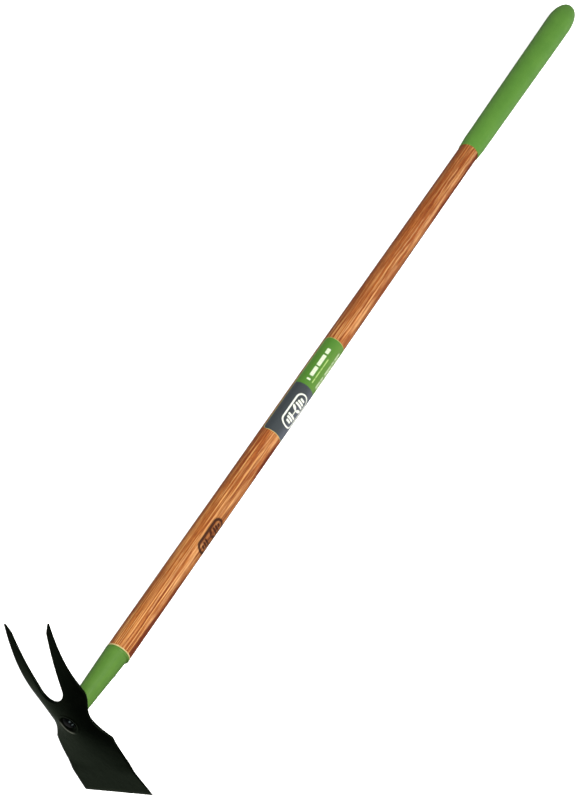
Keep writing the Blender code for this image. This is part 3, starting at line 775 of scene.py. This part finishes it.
# the rivet material carries two painted highlights on the peened head
MAT_RIVET = steel_material("rivet_steel_dark", lin(3, 5, 6), lin(8, 11, 11), 0.14, 0.24, 0.0, ((3.9, 5.2, 1.0), (-0.8, 6.4, 1.0)))
MAT_RIVET.node_tree.nodes["Principled BSDF"].inputs["Specular IOR Level"].default_value = 0.02
MAT_PIN = steel_material("pin_zinc", lin(120, 120, 114), lin(176, 176, 168), 0.28, 0.45, 0.9)
MAT_GLUE = glue_material()


# ------------------------------------------------------------------ head
def outline_points():
    pts = []
    n = 900
    for k in range(n + 1):
        p = mix(-PRONG_REACH, BLADE_REACH, k / n)
        pts.append((p, outer_half(p)))
    n = 60
    for k in range(n + 1):
        pts.append((BLADE_REACH, mix(0, EDGE_HALF, k / n)))
    n = 400
    b = CROTCH_AT - CROTCH_LONG
    for k in range(n + 1):
        p = mix(-PRONG_REACH, b, k / n)
        pts.append((p, inner_half(p)))
    n = 200
    for k in range(n + 1):
        p = b + CROTCH_LONG * math.sin(math.pi / 2 * k / n)
        pts.append((p, inner_half(p)))
    n = 10
    for k in range(n + 1):
        pts.append((-PRONG_REACH, mix(TIP_HALF - TIP_WIDTH, TIP_HALF, k / n)))
    return np.array(pts)


OUTLINE = outline_points()


def edge_distance(p, h):
    d = OUTLINE - np.array((p, abs(h)))
    return math.sqrt(float((d * d).sum(1).min()))


def dish(p, h):
    """How far the front face is pressed in round the eye; a low lip rings it."""
    r = math.hypot(p - 0.6, h)
    floor_r, mouth_r = DISH_FLOOR_R - 0.2, DISH_MOUTH_R + 0.1
    if r <= floor_r:
        d = DISH_DEPTH - 0.25 * math.cos(math.pi * r / floor_r / 2) * 0
    elif r < mouth_r:
        t = (r - floor_r) / (mouth_r - floor_r)
        d = DISH_DEPTH * (1.0 - smooth(t))
    else:
        d = 0.0
    lip = 0.42 * math.exp(-((r - mouth_r - 1.1) / 1.1) ** 2)
    return d - lip


def make_head():
    rows = []

    def span(a, b, n):
        for k in range(n):
            rows.append(mix(a, b, k / n))
    span(-PRONG_REACH, -PRONG_REACH + 1.2, 5)
    span(-PRONG_REACH + 1.2, -PRONG_REACH + TIP_TAPER, 12)
    b = CROTCH_AT - CROTCH_LONG
    span(-PRONG_REACH + TIP_TAPER, b, 38)
    n = 34
    for k in range(n):
        rows.append(b + CROTCH_LONG * math.sin(math.pi / 2 * k / n))
    for d in (0.0, 0.12, 0.3, 0.6, 1.0, 1.5, 2.1, 2.8):
        rows.append(CROTCH_AT + d)
    span(CROTCH_AT + 3.6, -15.0, 9)
    span(-15.0, 16.5, 52)
    span(16.5, 33.0, 20)
    span(33.0, BLADE_REACH - GROUND_EDGE - 1.0, 46)
    span(BLADE_REACH - GROUND_EDGE - 1.0, BLADE_REACH - 1.0, 10)
    for d in (1.0, 0.7, 0.45, 0.25, 0.1, 0.0):
        rows.append(BLADE_REACH - d)
    cols = 46
    rnd = 1.25
    bm = bmesh.new()
    wear_l = bm.verts.layers.float.new("wear")
    front, back = [], []
    last = len(rows) - 1
    for j, p in enumerate(rows):
        hi, ho = inner_half(p), outer_half(p)
        width = ho - hi
        e = min(rnd, width * 0.45)
        # columns crowd towards the free edges
        offs = []
        nin = 6 if hi > 0 else 0
        ncore = cols - 6 - nin
        if nin:
            offs += [hi + e * (1 - math.cos(math.pi / 2 * k / nin)) for k in range(nin)]
        start = hi + e if nin else hi
        offs += [mix(start, ho - e, k / ncore) for k in range(ncore)]
        offs += [ho - e * (1 - math.sin(math.pi / 2 * k / 6)) for k in range(7)]
        fr, ba = {}, {}
        for s_name, s in (("L", -1), ("R", 1)):
            for k, h0 in enumerate(offs):
                h = s * h0
                if k == 0 and hi == 0.0 and s > 0:
                    fr[("R", 0)], ba[("R", 0)] = fr[("L", 0)], ba[("L", 0)]
                    continue
                edge = (k == cols) or (k == 0 and (hi > 0 or abs(p - CROTCH_AT) < 1e-9)) or j in (0, last)
                d = 0.0 if edge else edge_distance(p, h)
                half = plate_thick(p) / 2.0
                er = min(rnd, max(0.5, half * 1.0))
                if p > BLADE_REACH - 1.2 and d > 0:
                    er_blade = 0.35
                    d_side = outer_half(p) - h0
                    t = min(1.0, (BLADE_REACH - p) / er_blade)
                    t2 = min(1.0, max(d_side, 0.0) / er)
                    f = math.sqrt(max(0.0, 1 - (1 - t) ** 2)) * math.sqrt(max(0.0, 1 - (1 - t2) ** 2))
                else:
                    t = min(1.0, d / er)
                    f = math.sqrt(max(0.0, 1 - (1 - t) ** 2))
                tipness = smooth((-p - 96.0) / 22.0)
                cutting = smooth((p - (BLADE_REACH - 7.0)) / 6.0)
                w = max(0.0, 1.0 - d / 1.3) * (0.22 + 0.34 * tipness) + 0.26 * cutting + 0.20 * tipness
                waviness = 0.10 * noise.noise(Vector((p * 0.06, h * 0.06, 3.1))) + 0.05 * noise.noise(Vector((p * 0.2, h * 0.2, 8.7)))
                if edge:
                    v = bm.verts.new(plate_point(p, h, 1, 0.0) * MM)
                    v[wear_l] = w
                    fr[(s_name, k)] = ba[(s_name, k)] = v
                else:
                    n = plate_normal(p, h)
                    press = dish(p, h) if -16 < p < 17 and abs(h) < 17 else 0.0
                    vf = bm.verts.new((plate_point(p, h, -1, half * f) + n * (press + waviness * f)) * MM)
                    # the back face is left unpressed, inside the ferrule
                    vb = bm.verts.new((plate_point(p, h, 1, half * f) + n * waviness * f) * MM)
                    rim = max(0.0, 1.0 - abs(math.hypot(p - 0.6, h) - DISH_MOUTH_R - 1.0) / 1.2) * 0.15
                    vf[wear_l], vb[wear_l] = max(w, rim), w
                    fr[(s_name, k)], ba[(s_name, k)] = vf, vb
        front.append(fr)
        back.append(ba)
    for j in range(last):
        for sheet in (front, back):
            a, b2 = sheet[j], sheet[j + 1]
            for s in "LR":
                for k in range(cols):
                    quad = []
                    for v in (a[(s, k)], a[(s, k + 1)], b2[(s, k + 1)], b2[(s, k)]):
                        if v not in quad:
                            quad.append(v)
                    if len(quad) > 2:
                        try:
                            bm.faces.new(quad)
                        except ValueError:
                            pass
    ob = finish_mesh("hoe_head_forged", bm, MAT_HEAD, 60.0)
    seg = 40
    cut_with(ob, [[(x * MM, -EYE_HOLE_R * math.cos(2 * math.pi * k / seg) * MM, EYE_HOLE_R * math.sin(2 * math.pi * k / seg) * MM)
                   for k in range(seg)] for x in (-12.0, 14.0)])
    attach(ob, "root")
    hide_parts("hoe_head")
    return ob


# ------------------------------------------------------------------ ferrule
def ferrule_start(a, inset):
    x = 4.0
    for _ in range(6):
        r = ferrule_radius(x) - inset
        y = ferrule_centre(x) - r * math.cos(a)
        z = r * math.sin(a)
        n = plate_normal(-y, z)
        x = plate_mid(-y, z) + (plate_thick(-y) / 2.0 + GAP) / n.x
    return x


def make_ferrule():
    seg = 120
    bm = bmesh.new()
    wear_l = bm.verts.layers.float.new("wear")

    def line(fx, fr, wear=0.0, seam=True):
        out = []
        for k in range(seg):
            a = 2 * math.pi * k / seg
            x = fx(a)
            r = fr(x, a)
            if seam:      # the rolled tube's closed seam, a shallow line along the far side
                da = (a - math.radians(300) + math.pi) % (2 * math.pi) - math.pi
                r -= 0.28 * math.exp(-(da * r / 0.55) ** 2)
            v = bm.verts.new((x * MM, (ferrule_centre(x) * centre_scale(x) - r * math.cos(a)) * MM, r * math.sin(a) * MM))
            v[wear_l] = wear
            out.append(v)
        return out

    def centre_scale(x):
        t = (x - (FERRULE_END - BEAD_LEN - 0.6)) / 1.6
        return 1.0 - smooth(t)

    loop = []
    starts = {}

    def start(a, inset=0.0):
        key = (round(a, 6), inset)
        if key not in starts:
            starts[key] = ferrule_start(a, inset)
        return starts[key]

    # welded foot: a small fillet that swells against the plate
    for d, swell, w in ((0.0, 1.5, 0.55), (0.35, 1.35, 0.35), (0.9, 0.85, 0.1), (1.6, 0.4, 0.0), (2.6, 0.12, 0.0), (4.0, 0.0, 0.0)):
        loop.append(line(lambda a, d=d: start(a) + d, lambda x, a, s=swell: ferrule_radius(x) + s * (1 + 0.25 * noise.noise(Vector((math.cos(a) * 3, math.sin(a) * 3, x * 0.3)))), w))
    n = 22
    end = FERRULE_END - BEAD_LEN - 0.6
    for k in range(1, n + 1):
        loop.append(line(lambda a, k=k: mix(start(a) + 4.0, end, k / n), lambda x, a: ferrule_radius(x)))
    loop.append(line(lambda a: end + 0.35, lambda x, a: ferrule_radius(x) + 0.05, 0.15, False))
    n = 12
    for k in range(n + 1):
        t = math.pi * k / n
        x = FERRULE_END - BEAD_LEN / 2 - BEAD_LEN / 2 * math.cos(t)
        r = FERRULE_R + (BEAD_R - FERRULE_R) * math.sin(t) ** 0.8
        loop.append(line(lambda a, x=x: x, lambda xx, a, r=r: r, 0.25 + 0.45 * math.sin(t), False))
    for x in (FERRULE_END - 0.15, FERRULE_END - 1.0, 85.0, 55.0, 32.0):
        loop.append(line(lambda a, x=x: x, lambda xx, a: ferrule_radius(xx) - FERRULE_WALL, 0.0, False))
    loop.append(line(lambda a: start(a, FERRULE_WALL) + 3.0, lambda x, a: ferrule_radius(x) - FERRULE_WALL, 0.0, False))
    loop.append(line(lambda a: start(a, FERRULE_WALL), lambda x, a: ferrule_radius(x) - FERRULE_WALL, 0.0, False))
    for a, b in zip(loop, loop[1:]):
        skin(bm, a, b)
    skin(bm, loop[-1], loop[0])
    ob = finish_mesh("ferrule_painted", bm, MAT_FERRULE, 45.0)
    seg2 = 24
    reach_pin = ferrule_radius(PIN_AT) - ferrule_centre(PIN_AT)
    cut_with(ob, [[((PIN_AT + 1.8 * math.cos(2 * math.pi * k / seg2)) * MM, -d * MM, 1.8 * math.sin(2 * math.pi * k / seg2) * MM)
                   for k in range(seg2)] for d in (reach_pin - 7.0, reach_pin + 6.0)])
    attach(ob, "root")
    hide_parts("ferrule")
    return ob


# ------------------------------------------------------------------ handle
def make_handle():
    seg = 112
    inner = FERRULE_WALL + TENON_GAP
    bm = bmesh.new()

    def wob(x, a):
        return 0.06 * noise.noise(Vector((x * 0.01, math.cos(a) * 1.3, math.sin(a) * 1.3)))
    prof = [(TENON_START, ferrule_radius(TENON_START) - inner - 2.0, 1),
            (TENON_START + 2.5, ferrule_radius(TENON_START + 2.5) - inner, 1),
            (60.0, ferrule_radius(60.0) - inner, 1),
            (FERRULE_END + 0.1, ferrule_radius(FERRULE_END) - inner, 1),
            (FERRULE_END + 1.6, ferrule_radius(FERRULE_END) - inner, 1),
            (FERRULE_END + 1.7, HANDLE_R - 0.55, 0),
            (FERRULE_END + 1.9, HANDLE_R - 0.25, 0),
            (FERRULE_END + 2.4, HANDLE_R - 0.05, 0),
            (FERRULE_END + 3.2, HANDLE_R, 0)]
    n = 90
    for k in range(1, n + 1):
        x = mix(FERRULE_END + 3.2, HANDLE_END - 3.0, k / n)
        prof.append((x, handle_radius(x), 0))
    prof += [(HANDLE_END - 0.8, handle_radius(HANDLE_END) - 0.7, 0), (HANDLE_END, handle_radius(HANDLE_END) - 2.5, 0)]
    rings = [ring(bm, x, r, seg, ferrule_centre(x) if lean else 0.0, None if lean or r < 14.4 else wob) for x, r, lean in prof]
    for a, b in zip(rings, rings[1:]):
        skin(bm, a, b)
    fan(bm, rings[-1], HANDLE_END)
    bore = [ring(bm, x, r, seg) for x, r in ((TENON_START, TANG_R + GAP), (TANG_END - 59.0, TANG_R + GAP), (TANG_END + 2.0, 2.9))]
    skin(bm, rings[0], bore[0])
    for a, b in zip(bore, bore[1:]):
        skin(bm, a, b)
    fan(bm, bore[-1], TANG_END + 2.2)
    ob = finish_mesh("handle_turned_wood", bm, MAT_WOOD, 38.0)
    seg2 = 24
    reach_pin = ferrule_radius(PIN_AT) - ferrule_centre(PIN_AT)
    cut_with(ob, [[((PIN_AT + 1.8 * math.cos(2 * math.pi * k / seg2)) * MM, -d * MM, 1.8 * math.sin(2 * math.pi * k / seg2) * MM)
                   for k in range(seg2)] for d in (reach_pin - 7.1, reach_pin + 6.0)])
    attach(ob, "root")
    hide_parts("wood_handle")
    return ob


# ------------------------------------------------------------------ grip
def make_grip():
    seg = 128
    bm = bmesh.new()

    def wob(x, a):
        soft = 0.10 * noise.noise(Vector((x * 0.03, math.cos(a) * 1.2, math.sin(a) * 1.2)))
        slow = 0.16 * noise.noise(Vector((x * 0.009, math.cos(a) * 0.7 + 5.0, math.sin(a) * 0.7)))
        # the moulded parting line, a faint raised hair on two sides
        seam = 0.0
        for at in (20.0, 200.0):
            da = (a - math.radians(at) + math.pi) % (2 * math.pi) - math.pi
            seam += 0.10 * math.exp(-(da * 17.0 / 0.45) ** 2)
        return soft + slow + seam
    outer = []
    lip = handle_radius(GRIP_FROM) + GRIP_GAP
    for x, r in ((GRIP_FROM, lip + 0.25), (GRIP_FROM + 0.15, lip + 0.42), (GRIP_FROM + 0.5, lip + 0.58), (GRIP_FROM + 1.2, lip + 0.66)):
        outer.append(ring(bm, x, r, seg))
    n = 16
    for k in range(1, n + 1):
        x = mix(GRIP_FROM + 1.2, GRIP_FROM + GRIP_TAPER, k / n)
        f = k / n
        outer.append(ring(bm, x, mix(lip + 0.66, grip_radius(x), smooth(f * 3)), seg, 0.0, lambda xx, a, f=f: wob(xx, a) * f))
    n = 70
    for k in range(1, n + 1):
        x = mix(GRIP_FROM + GRIP_TAPER, GRIP_TO - GRIP_DOME, k / n)
        outer.append(ring(bm, x, grip_radius(x), seg, 0.0, wob))
    r1 = grip_radius(GRIP_TO - GRIP_DOME)
    flat = 5.0
    n = 30
    for k in range(1, n + 1):
        a = math.pi / 2 * k / n
        f = 1.0 - k / n
        outer.append(ring(bm, GRIP_TO - GRIP_DOME + GRIP_DOME * math.sin(a), flat + (r1 - flat) * math.cos(a), seg, 0.0,
                          lambda xx, an, f=f: wob(xx, an) * f))
    # small moulding gate mark in the middle of the end
    for r, x in ((3.0, GRIP_TO), (2.4, GRIP_TO - 0.35), (1.8, GRIP_TO - 0.40)):
        outer.append(ring(bm, x, r, seg))
    for a, b in zip(outer, outer[1:]):
        skin(bm, a, b)
    fan(bm, outer[-1], GRIP_TO - 0.40)
    end = HANDLE_END + 0.6
    bore = [ring(bm, mix(GRIP_FROM, end, k / 10), handle_radius(mix(GRIP_FROM, end, k / 10)) + GRIP_GAP - 0.2, seg) for k in range(11)]
    skin(bm, outer[0], bore[0])
    for a, b in zip(bore, bore[1:]):
        skin(bm, a, b)
    fan(bm, bore[-1], end)
    ob = finish_mesh("grip_soft_foam", bm, MAT_GRIP, 50.0, "cushion_grip")
    return ob


# ------------------------------------------------------------------ label
def make_label():
    """Thin film wrapped round the wood, with rounded corners and one edge lifting a hair."""
    length = LABEL_TO - LABEL_FROM
    corner = 7.0
    rad = handle_radius(560.0)
    arc = math.radians(LABEL_A1 - LABEL_A0) * rad
    nx, na = 120, 150
    bm = bmesh.new()
    flat_l = bm.verts.layers.float_vector.new("flat")
    rim_l = bm.verts.layers.float.new("rim")
    sheets = [[], []]
    xs = []
    for k in range(10):
        xs.append(corner * (1 - math.cos(math.pi / 2 * k / 10)))
    for k in range(nx + 1):
        xs.append(mix(corner, length - corner, k / nx))
    for k in range(1, 11):
        xs.append(length - corner * (1 - math.sin(math.pi / 2 * k / 10)))
    for i, u in enumerate(xs):
        d_end = min(u, length - u)
        cut = 0.0
        if d_end < corner:
            cut = corner - math.sqrt(max(0.0, corner ** 2 - (corner - d_end) ** 2))
        s0, s1 = cut, arc - cut
        lines = ([], [])
        for k in range(na + 1):
            t = k / na
            # the columns are spaced evenly; crowding them at both edges is switched off
            t = 0.5 - 0.5 * math.cos(math.pi * t) if False else t
            s = mix(s0, s1, t)
            ang = math.radians(LABEL_A0) + s / rad
            x = LABEL_FROM + u
            base = handle_radius(x) + 0.07
            edge_s = min(s - s0, s1 - s)
            lift = 0.16 * math.exp(-((s1 - s) / 1.6) ** 2) * (0.5 + 0.5 * noise.noise(Vector((u * 0.05, 1.0, 2.0))))
            d = min(edge_s, d_end)
            if cut > 0:
                d = min(edge_s, d_end)
            thick = 0.13
            for out in (0, 1):
                r = base + lift + out * thick
                v = bm.verts.new((x * MM, -r * math.cos(ang) * MM, r * math.sin(ang) * MM))
                v[flat_l] = (u, (math.degrees(ang) - FACING) * math.pi / 180 * rad, 0.0)
                v[rim_l] = 1.0 if d < 0.75 else 0.0
                lines[out].append(v)
        sheets[0].append(lines[0])
        sheets[1].append(lines[1])
    lo, hi = sheets
    n = len(xs) - 1
    for g in (lo, hi):
        for i in range(n):
            for k in range(na):
                bm.faces.new((g[i][k], g[i + 1][k], g[i + 1][k + 1], g[i][k + 1]))
    for i in range(n):
        for k in (0, na):
            bm.faces.new((lo[i][k], lo[i + 1][k], hi[i + 1][k], hi[i][k]))
    for k in range(na):
        for i in (0, n):
            bm.faces.new((lo[i][k], lo[i][k + 1], hi[i][k + 1], hi[i][k]))
    return finish_mesh("label_wrapped_film", bm, MAT_LABEL, 40.0, "handle_label")


# ------------------------------------------------------------------ rivet, washer, pin, glue
def make_rivet():
    seg = 72
    face = PLATE_SET - plate_thick(0.0) / 2.0
    floor_x = face + DISH_DEPTH
    wash_x = floor_x - 0.1
    bm = bmesh.new()
    prof = [(wash_x - WASHER_T, TANG_R + 0.15), (wash_x - WASHER_T, WASHER_R - 0.35), (wash_x - WASHER_T + 0.12, WASHER_R - 0.1),
            (wash_x - WASHER_T + 0.35, WASHER_R), (wash_x - 0.15, WASHER_R), (wash_x, WASHER_R - 0.15), (wash_x, TANG_R + 0.15)]
    loop = [ring(bm, x, r, seg) for x, r in prof]
    for a, b in zip(loop, loop[1:] + loop[:1]):
        skin(bm, a, b)
    finish_mesh("rivet_washer_steel", bm, MAT_RIVET, 40.0, "rivet_washer")

    bm = bmesh.new()
    peen_x = wash_x - WASHER_T - 0.08

    def blows(x, a):
        """Flats that the hammer left on the peened end."""
        f = 0.0
        for k in range(7):
            f = min(f, -0.28 * math.exp(-((((a - k * 0.9 + math.pi) % (2 * math.pi)) - math.pi) / 0.22) ** 2))
        return f + 0.18 * noise.noise(Vector((math.cos(a) * 2.0, math.sin(a) * 2.0, x * 0.5)))
    rings = []
    n = 12
    for k in range(n + 1):
        t = math.pi / 2 * k / n
        r = 1.2 + (PEEN_R - 1.2) * math.sin(t) ** 0.9
        x = peen_x - PEEN_H * math.cos(t) ** 0.8 if k < n else peen_x - 0.12
        rings.append(ring(bm, x, r, seg, 0.0, blows if k > 2 else None))
    rings.append(ring(bm, peen_x, PEEN_R - 0.25, seg, 0.0, blows))
    rings.append(ring(bm, peen_x, TANG_R, seg))
    for x, r in ((TANG_END - 60.0, TANG_R), (TANG_END - 6.0, 2.4), (TANG_END, 0.6)):
        rings.append(ring(bm, x, r, seg))
    for a, b in zip(rings, rings[1:]):
        skin(bm, a, b)
    # the crown is dented in the middle
    fan(bm, rings[0], peen_x - PEEN_H + 0.15)
    fan(bm, rings[-1], TANG_END + 0.1)
    finish_mesh("tang_peened", bm, MAT_RIVET, 50.0, "tang")

    bm = bmesh.new()
    r_pin = ferrule_radius(PIN_AT)
    reach_pin = r_pin - ferrule_centre(PIN_AT)
    prof = [(reach_pin - 6.6, 0.9), (reach_pin - 5.4, 1.5), (reach_pin - 0.05, 1.5), (reach_pin - 0.02, 3.2), (reach_pin + 0.12, 3.5), (reach_pin + 0.35, 3.6)]
    n = 8
    for k in range(1, n + 1):
        t = math.pi / 2 * k / n
        prof.append((reach_pin + 0.35 + 1.1 * math.sin(t), 0.8 + 2.8 * math.cos(t)))
    seg2 = 48
    rings = [[bm.verts.new(((PIN_AT + r * math.cos(2 * math.pi * k / seg2)) * MM, -d * MM, r * math.sin(2 * math.pi * k / seg2) * MM))
              for k in range(seg2)] for d, r in prof]
    for a, b in zip(rings, rings[1:]):
        skin(bm, a, b)
    bm.faces.new(rings[0])
    bm.faces.new(rings[-1])
    finish_mesh("ferrule_rivet", bm, MAT_PIN, 40.0, "ferrule_pin")

    bm = bmesh.new()
    r_in = ferrule_radius(FERRULE_END) - FERRULE_WALL - TENON_GAP + ferrule_centre(FERRULE_END) + 0.15
    seg3 = 144

    def ooze(x, a):
        return 0.22 * noise.noise(Vector((math.cos(a) * 3.0, math.sin(a) * 3.0, 4.0))) + 0.10 * noise.noise(Vector((math.cos(a) * 9.0, math.sin(a) * 9.0, x)))
    x0 = FERRULE_END + 0.06
    loop = [ring(bm, x0, r_in, seg3), ring(bm, x0 + 1.5, r_in, seg3), ring(bm, x0 + 1.55, HANDLE_R - 0.55, seg3),
            ring(bm, x0 + 1.45, HANDLE_R - 0.02, seg3, 0.0, ooze), ring(bm, x0 + 1.1, HANDLE_R + 0.28, seg3, 0.0, ooze),
            ring(bm, x0 + 0.6, HANDLE_R + 0.36, seg3, 0.0, ooze), ring(bm, x0 + 0.15, HANDLE_R + 0.22, seg3, 0.0, ooze),
            ring(bm, x0, HANDLE_R - 0.2, seg3)]
    for a, b in zip(loop, loop[1:] + loop[:1]):
        skin(bm, a, b)
    finish_mesh("glue_squeeze_out", bm, MAT_GLUE, 60.0, "glue_bead")


# ------------------------------------------------------------------ stage, light, camera
def stage():
    """A white table top and a white surround. They show white and catch the shadow, and throw no light back."""
    g = Nodes("studio_floor")
    n = g.noise(g.coords(), 0.002, 2.0, 0.5)
    g.set("Base Color", g.ramp(n, [(0.3, (0.84, 0.84, 0.84)), (0.7, (0.86, 0.86, 0.86))]))
    g.bsdf.inputs["Roughness"].default_value = 0.9
    g.bsdf.inputs["Specular IOR Level"].default_value = 0.0
    g.bsdf.inputs["Emission Color"].default_value = (1, 1, 1, 1)
    g.bsdf.inputs["Emission Strength"].default_value = 0.80
    me = bpy.data.meshes.new("studio_floor")
    s = 12.0
    n = 72
    pts = [(0.0, 0.0, -0.0004)] + [(s * math.cos(2 * math.pi * k / n), s * math.sin(2 * math.pi * k / n), -0.0004) for k in range(n)]
    me.from_pydata(pts, [], [(0, 1 + k, 1 + (k + 1) % n) for k in range(n)])
    me.materials.append(g.mat)
    ob = bpy.data.objects.new("studio_floor", me)
    bpy.context.scene.collection.objects.link(ob)
    ob.visible_diffuse = ob.visible_glossy = False

    g = Nodes("studio_surround")
    g.bsdf.inputs["Base Color"].default_value = (0, 0, 0, 1)
    g.bsdf.inputs["Specular IOR Level"].default_value = 0.0
    g.bsdf.inputs["Emission Color"].default_value = (1, 1, 1, 1)
    g.bsdf.inputs["Emission Strength"].default_value = 1.05
    bm = bmesh.new()
    bmesh.ops.create_uvsphere(bm, u_segments=48, v_segments=24, radius=14.0)
    me = bpy.data.meshes.new("studio_surround")
    bm.to_mesh(me)
    bm.free()
    me.materials.append(g.mat)
    ob = bpy.data.objects.new("studio_surround", me)
    bpy.context.scene.collection.objects.link(ob)
    ob.visible_diffuse = ob.visible_glossy = ob.visible_shadow = ob.visible_transmission = False

    w = bpy.data.worlds.new("studio")
    bpy.context.scene.world = w
    w.use_nodes = True
    t = w.node_tree
    bg = t.nodes["Background"]
    co = t.nodes.new("ShaderNodeTexCoord")
    se = t.nodes.new("ShaderNodeSeparateXYZ")
    mr = t.nodes.new("ShaderNodeMapRange")
    mr.inputs["From Min"].default_value = -1.0
    t.links.new(co.outputs["Generated"], se.inputs[0])
    t.links.new(se.outputs["Z"], mr.inputs["Value"])
    rp = t.nodes.new("ShaderNodeValToRGB")
    el = rp.color_ramp.elements
    for k, (at, val) in enumerate(WORLD):
        e = el[k] if k < 2 else el.new(at)
        e.position, e.color = at, (val, val, val, 1.0)
    t.links.new(mr.outputs[0], rp.inputs[0])
    t.links.new(rp.outputs[0], bg.inputs["Strength"])
    bg.inputs["Color"].default_value = (1.0, 1.0, 1.0, 1.0)


# how bright the surround is from straight below (0) over the level (0.5) to straight above (1)
WORLD = ((0.0, 0.20), (0.11, 0.40), (0.21, 0.42), (0.31, 0.06), (0.50, 0.04), (0.62, 0.24), (1.0, 0.42))


def area(name, where, at, size, power, colour=(1, 1, 1)):
    d = bpy.data.lights.new(name, "AREA")
    d.shape = "RECTANGLE"
    d.size, d.size_y = size
    d.energy = power
    d.color = colour
    ob = bpy.data.objects.new(name, d)
    bpy.context.scene.collection.objects.link(ob)
    ob.location = where
    ob.rotation_mode = "QUATERNION"
    ob.rotation_quaternion = (Vector(at) - Vector(where)).to_track_quat("-Z", "Y")
    return ob


TILT, ROLL, TURN = math.radians(35.0), math.radians(54.92), math.radians(56.95)
FOCAL_PX, DISTANCE = 1900.0, 2.432
AXIS_PX = (294.64 - 289.5, 400.0 - 400.82)      # a picture point on the handle's axis, from the middle
EYE_PX = (68.2 - 289.5, 400.0 - 725.0)          # where along the axis the head's eye shows


def camera_axes():
    """The tool's axes and origin in the camera's coordinates (x right, y up, z back)."""
    u = np.array([math.cos(ROLL), math.sin(ROLL)])
    a = np.array([u[0] * math.cos(TILT), u[1] * math.cos(TILT), -math.sin(TILT)])
    p = np.array(AXIS_PX)
    p = p - u * (p @ u)
    p0 = np.array([p[0] * DISTANCE / FOCAL_PX, p[1] * DISTANCE / FOCAL_PX, -DISTANCE])
    side = np.cross(a, [0, 0, 1.0])
    side /= np.linalg.norm(side)
    up = np.cross(side, a)
    up /= np.linalg.norm(up)
    if up[2] < 0:
        up = -up
    w = math.cos(TURN) * side + math.sin(TURN) * up
    y = np.cross(w, a)
    # slide along the axis until it shows at the eye
    want = np.array(EYE_PX) @ u
    lo, hi = -2.0, 2.0
    for _ in range(60):
        mid = (lo + hi) / 2
        q = p0 + a * mid
        if (q[:2] * FOCAL_PX / -q[2]) @ u > want:
            hi = mid
        else:
            lo = mid
    return a, y, w, p0 + a * (lo + hi) / 2


def make_camera():
    a, y, w, h = camera_axes()
    r = np.stack([a, y, w], 1)                 # tool to camera
    m = Matrix([[*r.T[i], 0.0] for i in range(3)] + [[0, 0, 0, 1]])
    place = -(r.T @ h)
    m.translation = Vector(place)
    cam = bpy.data.cameras.new("camera")
    cam.sensor_width = 36.0
    cam.lens = FOCAL_PX / 800.0 * 36.0
    cam.clip_start, cam.clip_end = 0.05, 200.0
    ob = bpy.data.objects.new("camera", cam)
    bpy.context.scene.collection.objects.link(ob)
    ob.matrix_world = LAY @ m
    bpy.context.scene.camera = ob
    return ob


make_head()
make_rivet()
make_ferrule()
make_handle()
make_label()
make_grip()
stage()
cam = make_camera()

C = cam.matrix_world
right, top, back = (Vector((C[0][k], C[1][k], C[2][k])) for k in range(3))
mid = LAY @ Vector((0.7, 0.0, 0.0))


def towards(r, t, b, dist):
    return mid + (right * r + top * t + back * b).normalized() * dist


area("key", towards(0.30, 0.10, 1.0, 2.6), mid, (1.5, 1.5), 78.0, (1.0, 0.965, 0.90))
fill = area("fill", towards(-0.75, 0.35, 1.0, 2.8), mid, (2.0, 2.0), 34.0, (0.92, 1.0, 1.04))
fill.visible_glossy = False
head_at = LAY @ Vector((0.0, -0.02, 0.0))
area("kicker", head_at + (LAY.to_3x3() @ Vector((-0.78, -0.45, 0.46))) * 1.3, head_at, (0.5, 0.5), 0.4)
behind = area("back_fill", Vector((0.4, -2.2, 1.6)), Vector((0, 0, 0)), (2.2, 1.6), 16.0)
behind.visible_glossy = False
flat = Vector((-back.x, -back.y, 0.0)).normalized()
rear = area("rear_fill", mid + flat * 2.5 + Vector((0.0, 0.0, 0.75)), mid, (2.4, 1.4), 34.0)
rear.visible_glossy = False

bpy.context.scene.view_settings.view_transform = "Standard"
bpy.context.scene.view_settings.look = "None"
